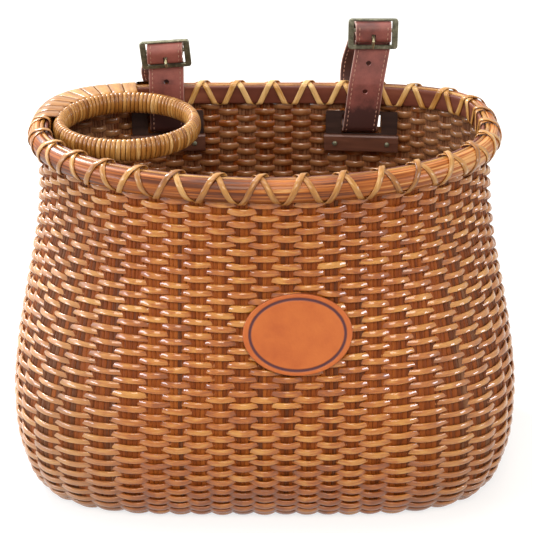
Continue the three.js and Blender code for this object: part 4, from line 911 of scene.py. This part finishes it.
def makeStrap(side):
    # squared oval section carried along the path, closed at both ends, then cut for prong and holes
    s = sides[side]
    heel, run, path, tilt, length = strapPath(side)
    along = unit(np.gradient(path[:, 1:], axis=0))
    flat = np.zeros(len(path))
    normal = np.stack([flat, -along[:, 1], along[:, 0]], 1)
    across = np.stack([flat + 1, flat, np.tan(np.radians(tilt))], 1)
    profile = ovalSection(strap["width"], strap["thick"], strap["sides"], strap["power"])
    points, faces = sweepStrands(path, across, normal, profile)
    count = len(points)
    here = np.arange(strap["sides"])
    there = np.roll(here, -1)
    lastRing = count - strap["sides"]
    firstCap = np.stack([np.full_like(here, count), there, here], 1)
    lastCap = np.stack([np.full_like(here, count + 1), here + lastRing, there + lastRing], 1)
    triangles = np.concatenate([faces[:, [0, 1, 2]], faces[:, [0, 2, 3]], firstCap, lastCap])
    points = np.concatenate([points, path[[0, -1]]])
    edge = np.tile(smooth((np.abs(profile[:, 0]) - strap["edgeFrom"]) / strap["edgeOver"]), len(path))
    below = smooth((rim["height"] - strap["shadeDrop"] - points[:, 2]) / strap["shadeOver"])
    behind = smooth((points[:, 1] - run - strap["behindFrom"]) / strap["behindOver"]) * strap["behindShade"]
    # painted shade: darker below the rim and behind the wall; painted light: the left strap paler above the
    # rim
    shade = np.maximum(s["dim"] * below, behind) - s["paintedLight"] * (1 - below)  # darker below the rim and behind
    attributes = {"edge": np.concatenate([edge, [1.0, 1.0]]), "shade": shade}
    piece = meshObject(side + "Strap", points, triangles[:, ::-1], strapLeather, attributes)
    cutters = [boxCutter(*strap[key], s["tilt"], s["nod"], heel) for key in ("eyeCut", "prongCut")]
    for z in heel[2] - strap["holeDrop"] - np.arange(1, s["holes"] + 1) * strap["holePitch"]:
        x = s["strapX"] + (heel[0] - s["strapX"]) * (z - strapZ) / (heel[2] - strapZ)
        cutters.append(holeCutter(np.array([x, run, z])))
    cutObject(piece, cutters)
    place(piece, "strap_leather", side + "_strap")
    makeStitches(side, path, tilt, length)


# saddle stitches: short bars in a line near each edge, on both faces
stitch = dict(pitch=3.4, long=2.4, wide=0.75, tall=0.7, fromEdge=2.6, proud=0.02, first=14.0, last=12.0,
              steps=5, sides=6, tip=0.04)


def makeStitches(side, path, tilt, length):
    # domed bar: width and height by sqrt(1 - t^2) along it
    spots = np.arange(stitch["first"], length[-1] - stitch["last"], stitch["pitch"])
    at = pointsAt(spots, length, path)
    way = unit(pointsAt(spots, length, np.gradient(path, axis=0)))
    lean = np.interp(spots, length, np.tan(np.radians(tilt)))
    sideways = np.stack([np.ones_like(lean), np.zeros_like(lean), lean], 1)
    face = unit(np.cross(sideways, way))
    t = np.linspace(-1, 1, stitch["steps"])
    bulge = np.sqrt(np.clip(1 - t ** 2, stitch["tip"], 1))
    toEdge = sideways * (strap["width"] / 2 - stitch["fromEdge"])
    toFace = face * (strap["thick"] / 2 + stitch["proud"])
    bars = way[:, None] * (t / 2 * stitch["long"])[:, None]
    corners = ((-1, -1), (-1, 1), (1, -1), (1, 1))
    paths = np.concatenate([(at + toEdge * e + toFace * f)[:, None] + bars for e, f in corners])
    across, out = [np.repeat(np.tile(v, (4, 1))[:, None], stitch["steps"], 1) for v in (sideways, face)]
    section = ovalSection(stitch["wide"], stitch["tall"], stitch["sides"])
    points, faces = sweepStrands(paths, across, out, section, bulge, bulge)
    place(meshObject(side + "Stitches", points, faces, waxedThread), "strap_leather")


makeStrap("left")
makeStrap("right")
print("straps")

# badge: oval leather patch lying on the front of the wall, with a pressed line inside its edge
# front face = stand-off + thickness - rounding of a quarter circle at the edge - line of depth * exp(-d^4)
badge = dict(x=20.8, z=140.4, width=69.4, height=50.0, thick=2.0, standOff=0.75, rounding=0.9, sideAt=1.4,
             lineAt=0.87, lineHalf=1.0, lineDeep=0.35, spokes=120, ringsFrom=0.8, innerRings=20, edgeRings=50,
             edgeTone=0.4, sideTone=0.6)


def wallFront(x, z):
    # front of the wall: y = -front * (1 - (x/half)^n)^(1/n)
    half, front, _, power = levelShape(z)
    return -chord(x, half, front, power)


inner = np.linspace(0, badge["ringsFrom"], badge["innerRings"])
share = np.concatenate([inner, np.linspace(badge["ringsFrom"], 1, badge["edgeRings"])[1:]])[:, None]
angle = np.arange(badge["spokes"]) / badge["spokes"] * 2 * np.pi
wide, tall = badge["width"] / 2, badge["height"] / 2
x = badge["x"] + wide * share * np.cos(angle)
z = badge["z"] + tall * share * np.sin(angle)
surface = np.stack([x, wallFront(x, z), z], -1)
# slope of the wall over one millimetre, sideways and upward
slopeX = wallFront(x + 0.5, z) - wallFront(x - 0.5, z)
slopeZ = wallFront(x, z + 0.5) - wallFront(x, z - 0.5)
facing = unit(np.stack([slopeX, -np.ones_like(slopeX), slopeZ], -1))
reach = wide * tall / np.hypot(tall * np.cos(angle), wide * np.sin(angle))  # middle to edge, square to it
inEdge = np.clip(1 - (1 - share) * reach / badge["rounding"], 0, 1)
rounding = 1 - np.sqrt(1 - inEdge ** 2)
line = np.exp(-((share - badge["lineAt"]) * reach / badge["lineHalf"]) ** 4)
topAt = badge["standOff"] + badge["thick"]
front = surface + facing * (topAt - rounding * badge["rounding"] - line * badge["lineDeep"])[..., None]
side = surface[-1:] + facing[-1:] * (topAt - badge["sideAt"])
foot = surface[-1:] + facing[-1:] * badge["standOff"]
grid = np.concatenate([front, side, foot, surface[:1] + facing[:1] * badge["standOff"]])
faces = ringFaces(1, *grid.shape[:2])[:, [0, 3, 2, 1]]
edge = np.clip(line + rounding * badge["edgeTone"], 0, 1)
edge = np.concatenate([edge, np.full((3, badge["spokes"]), badge["sideTone"])])
piece = meshObject("badgePatch", grid.reshape(-1, 3), faces, badgeLeather, {"edge": edge.ravel()})
place(piece, "badge_leather", "badge_patch")
print("badge")

# kept CAD pieces: buckles, prongs, plates, bars and tacks get their material
kept = {"_buckle_frame": antiqueBrass, "_buckle_prong": wornBrass, "_slot_plate": darkWood,
        "_strap_bar": barWood, "_bar_tack_left": antiqueBrass, "_bar_tack_right": antiqueBrass}
for side in sides:
    for ending, material in kept.items():
        node = nodes[side + ending]
        node.data.materials.clear()
        node.data.materials.append(material)
print("kept nodes")

# stage: pale floor, white surround, soft lamps and the photograph's camera
studio = dict(floorZ=-0.4, floorReach=6000.0, floorColour="a3a09b", floorGlow=0.72, skySeen=0.7, skyLight=0.3)


def seenDirectly(tree):
    # 1 for rays from the camera, in mirror reflections and through clear matter, 0 for light on its way
    path = addNode(tree, "ShaderNodeLightPath")
    seen = path.outputs["Is Camera Ray"]
    for key in ("Is Glossy Ray", "Is Transmission Ray"):
        either = addNode(tree, "ShaderNodeMath", {0: seen, 1: path.outputs[key]}, operation="MAXIMUM")
        seen = either.outputs[0]
    return seen


# matt paper sweep: plain pale grey that keeps the shadow, and glows to white only where it is seen
floorPaper = bpy.data.materials.new("mattPaperSweep")
tree = emptyTree(floorPaper)
glow = addNode(tree, "ShaderNodeMath", {0: seenDirectly(tree), 1: studio["floorGlow"]}, operation="MULTIPLY")
shader = addNode(tree, "ShaderNodeBsdfPrincipled",
                 {"Base Color": linear(studio["floorColour"]), "Roughness": 0.9,
                  "Emission Color": linear("ffffff"), "Emission Strength": glow.outputs[0]})
addNode(tree, "ShaderNodeOutputMaterial", {"Surface": shader.outputs["BSDF"]})
corners = np.array([[-1, -1], [1, -1], [1, 1], [-1, 1]]) * studio["floorReach"]
floorPoints = np.column_stack([corners, np.full(4, studio["floorZ"])])
meshObject("floor", floorPoints, np.array([[0, 1, 2, 3]]), floorPaper)

# lamps aimed at a height above the origin, in metres and watts
lamps = {
    "leftWindow": dict(at=(-1.5, -0.7, 0.6), aim=0.14, size=(0.8, 0.22), power=10, colour="f0f4ff"),
    "leftScreen": dict(at=(-1.45, 0.1, 0.8), aim=0.14, size=(1.4, 1.0), power=10, colour="d4e0ff"),
    "backLeft": dict(at=(-0.9, 1.0, 1.35), aim=0.2, size=(0.5, 0.5), power=40, colour="ffffff"),
    "rightWindow": dict(at=(1.5, -0.68, 0.55), aim=0.14, size=(0.5, 0.26), power=8, colour="f0f4ff"),
    "frontLight": dict(at=(0.0, -1.6, 1.7), aim=0.12, size=(1.0, 0.8), power=24, colour="fff0de"),
    "topLight": dict(at=(0.0, 0.0, 1.7), aim=0.2, size=(0.8, 0.8), power=8, colour="ffffff"),
}
for name, lamp in lamps.items():
    light = bpy.data.lights.new(name, "AREA")
    light.shape = "RECTANGLE"
    light.size, light.size_y = lamp["size"]
    light.energy = lamp["power"]
    light.color = linear(lamp["colour"])[:3]
    holder = bpy.data.objects.new(name, light)
    bpy.context.scene.collection.objects.link(holder)
    holder.location = lamp["at"]
    way = np.array([0, 0, lamp["aim"]]) - lamp["at"]
    yaw = math.atan2(way[1], way[0]) - math.pi / 2
    holder.rotation_euler = (math.acos(-way[2] / np.linalg.norm(way)), 0, yaw)

world = bpy.data.worlds.new("studio")
tree = emptyTree(world)
level = addNode(tree, "ShaderNodeMath", {0: seenDirectly(tree), 1: studio["skySeen"], 2: studio["skyLight"]},
                operation="MULTIPLY_ADD")
sky = addNode(tree, "ShaderNodeBackground", {"Color": linear("ffffff"), "Strength": level.outputs[0]})
addNode(tree, "ShaderNodeOutputWorld", {"Surface": sky.outputs["Background"]})
bpy.context.scene.world = world
bpy.context.scene.view_settings.view_transform = "Standard"

photoCamera = dict(focal=1413.9, pixels=533, at=(1.21, -899.2, 577.8), down=26.53)  # focal length in pixels
camera = bpy.data.cameras.new("photoCamera")
camera.sensor_width = 36.0
camera.lens = photoCamera["focal"] / photoCamera["pixels"] * camera.sensor_width
camera.clip_end = 20.0
cameraObject = bpy.data.objects.new("photoCamera", camera)
cameraObject.location = [value * mm for value in photoCamera["at"]]
cameraObject.rotation_euler = (math.radians(90 - photoCamera["down"]), 0, 0)
bpy.context.scene.collection.objects.link(cameraObject)
bpy.context.scene.camera = cameraObject
print("stage")
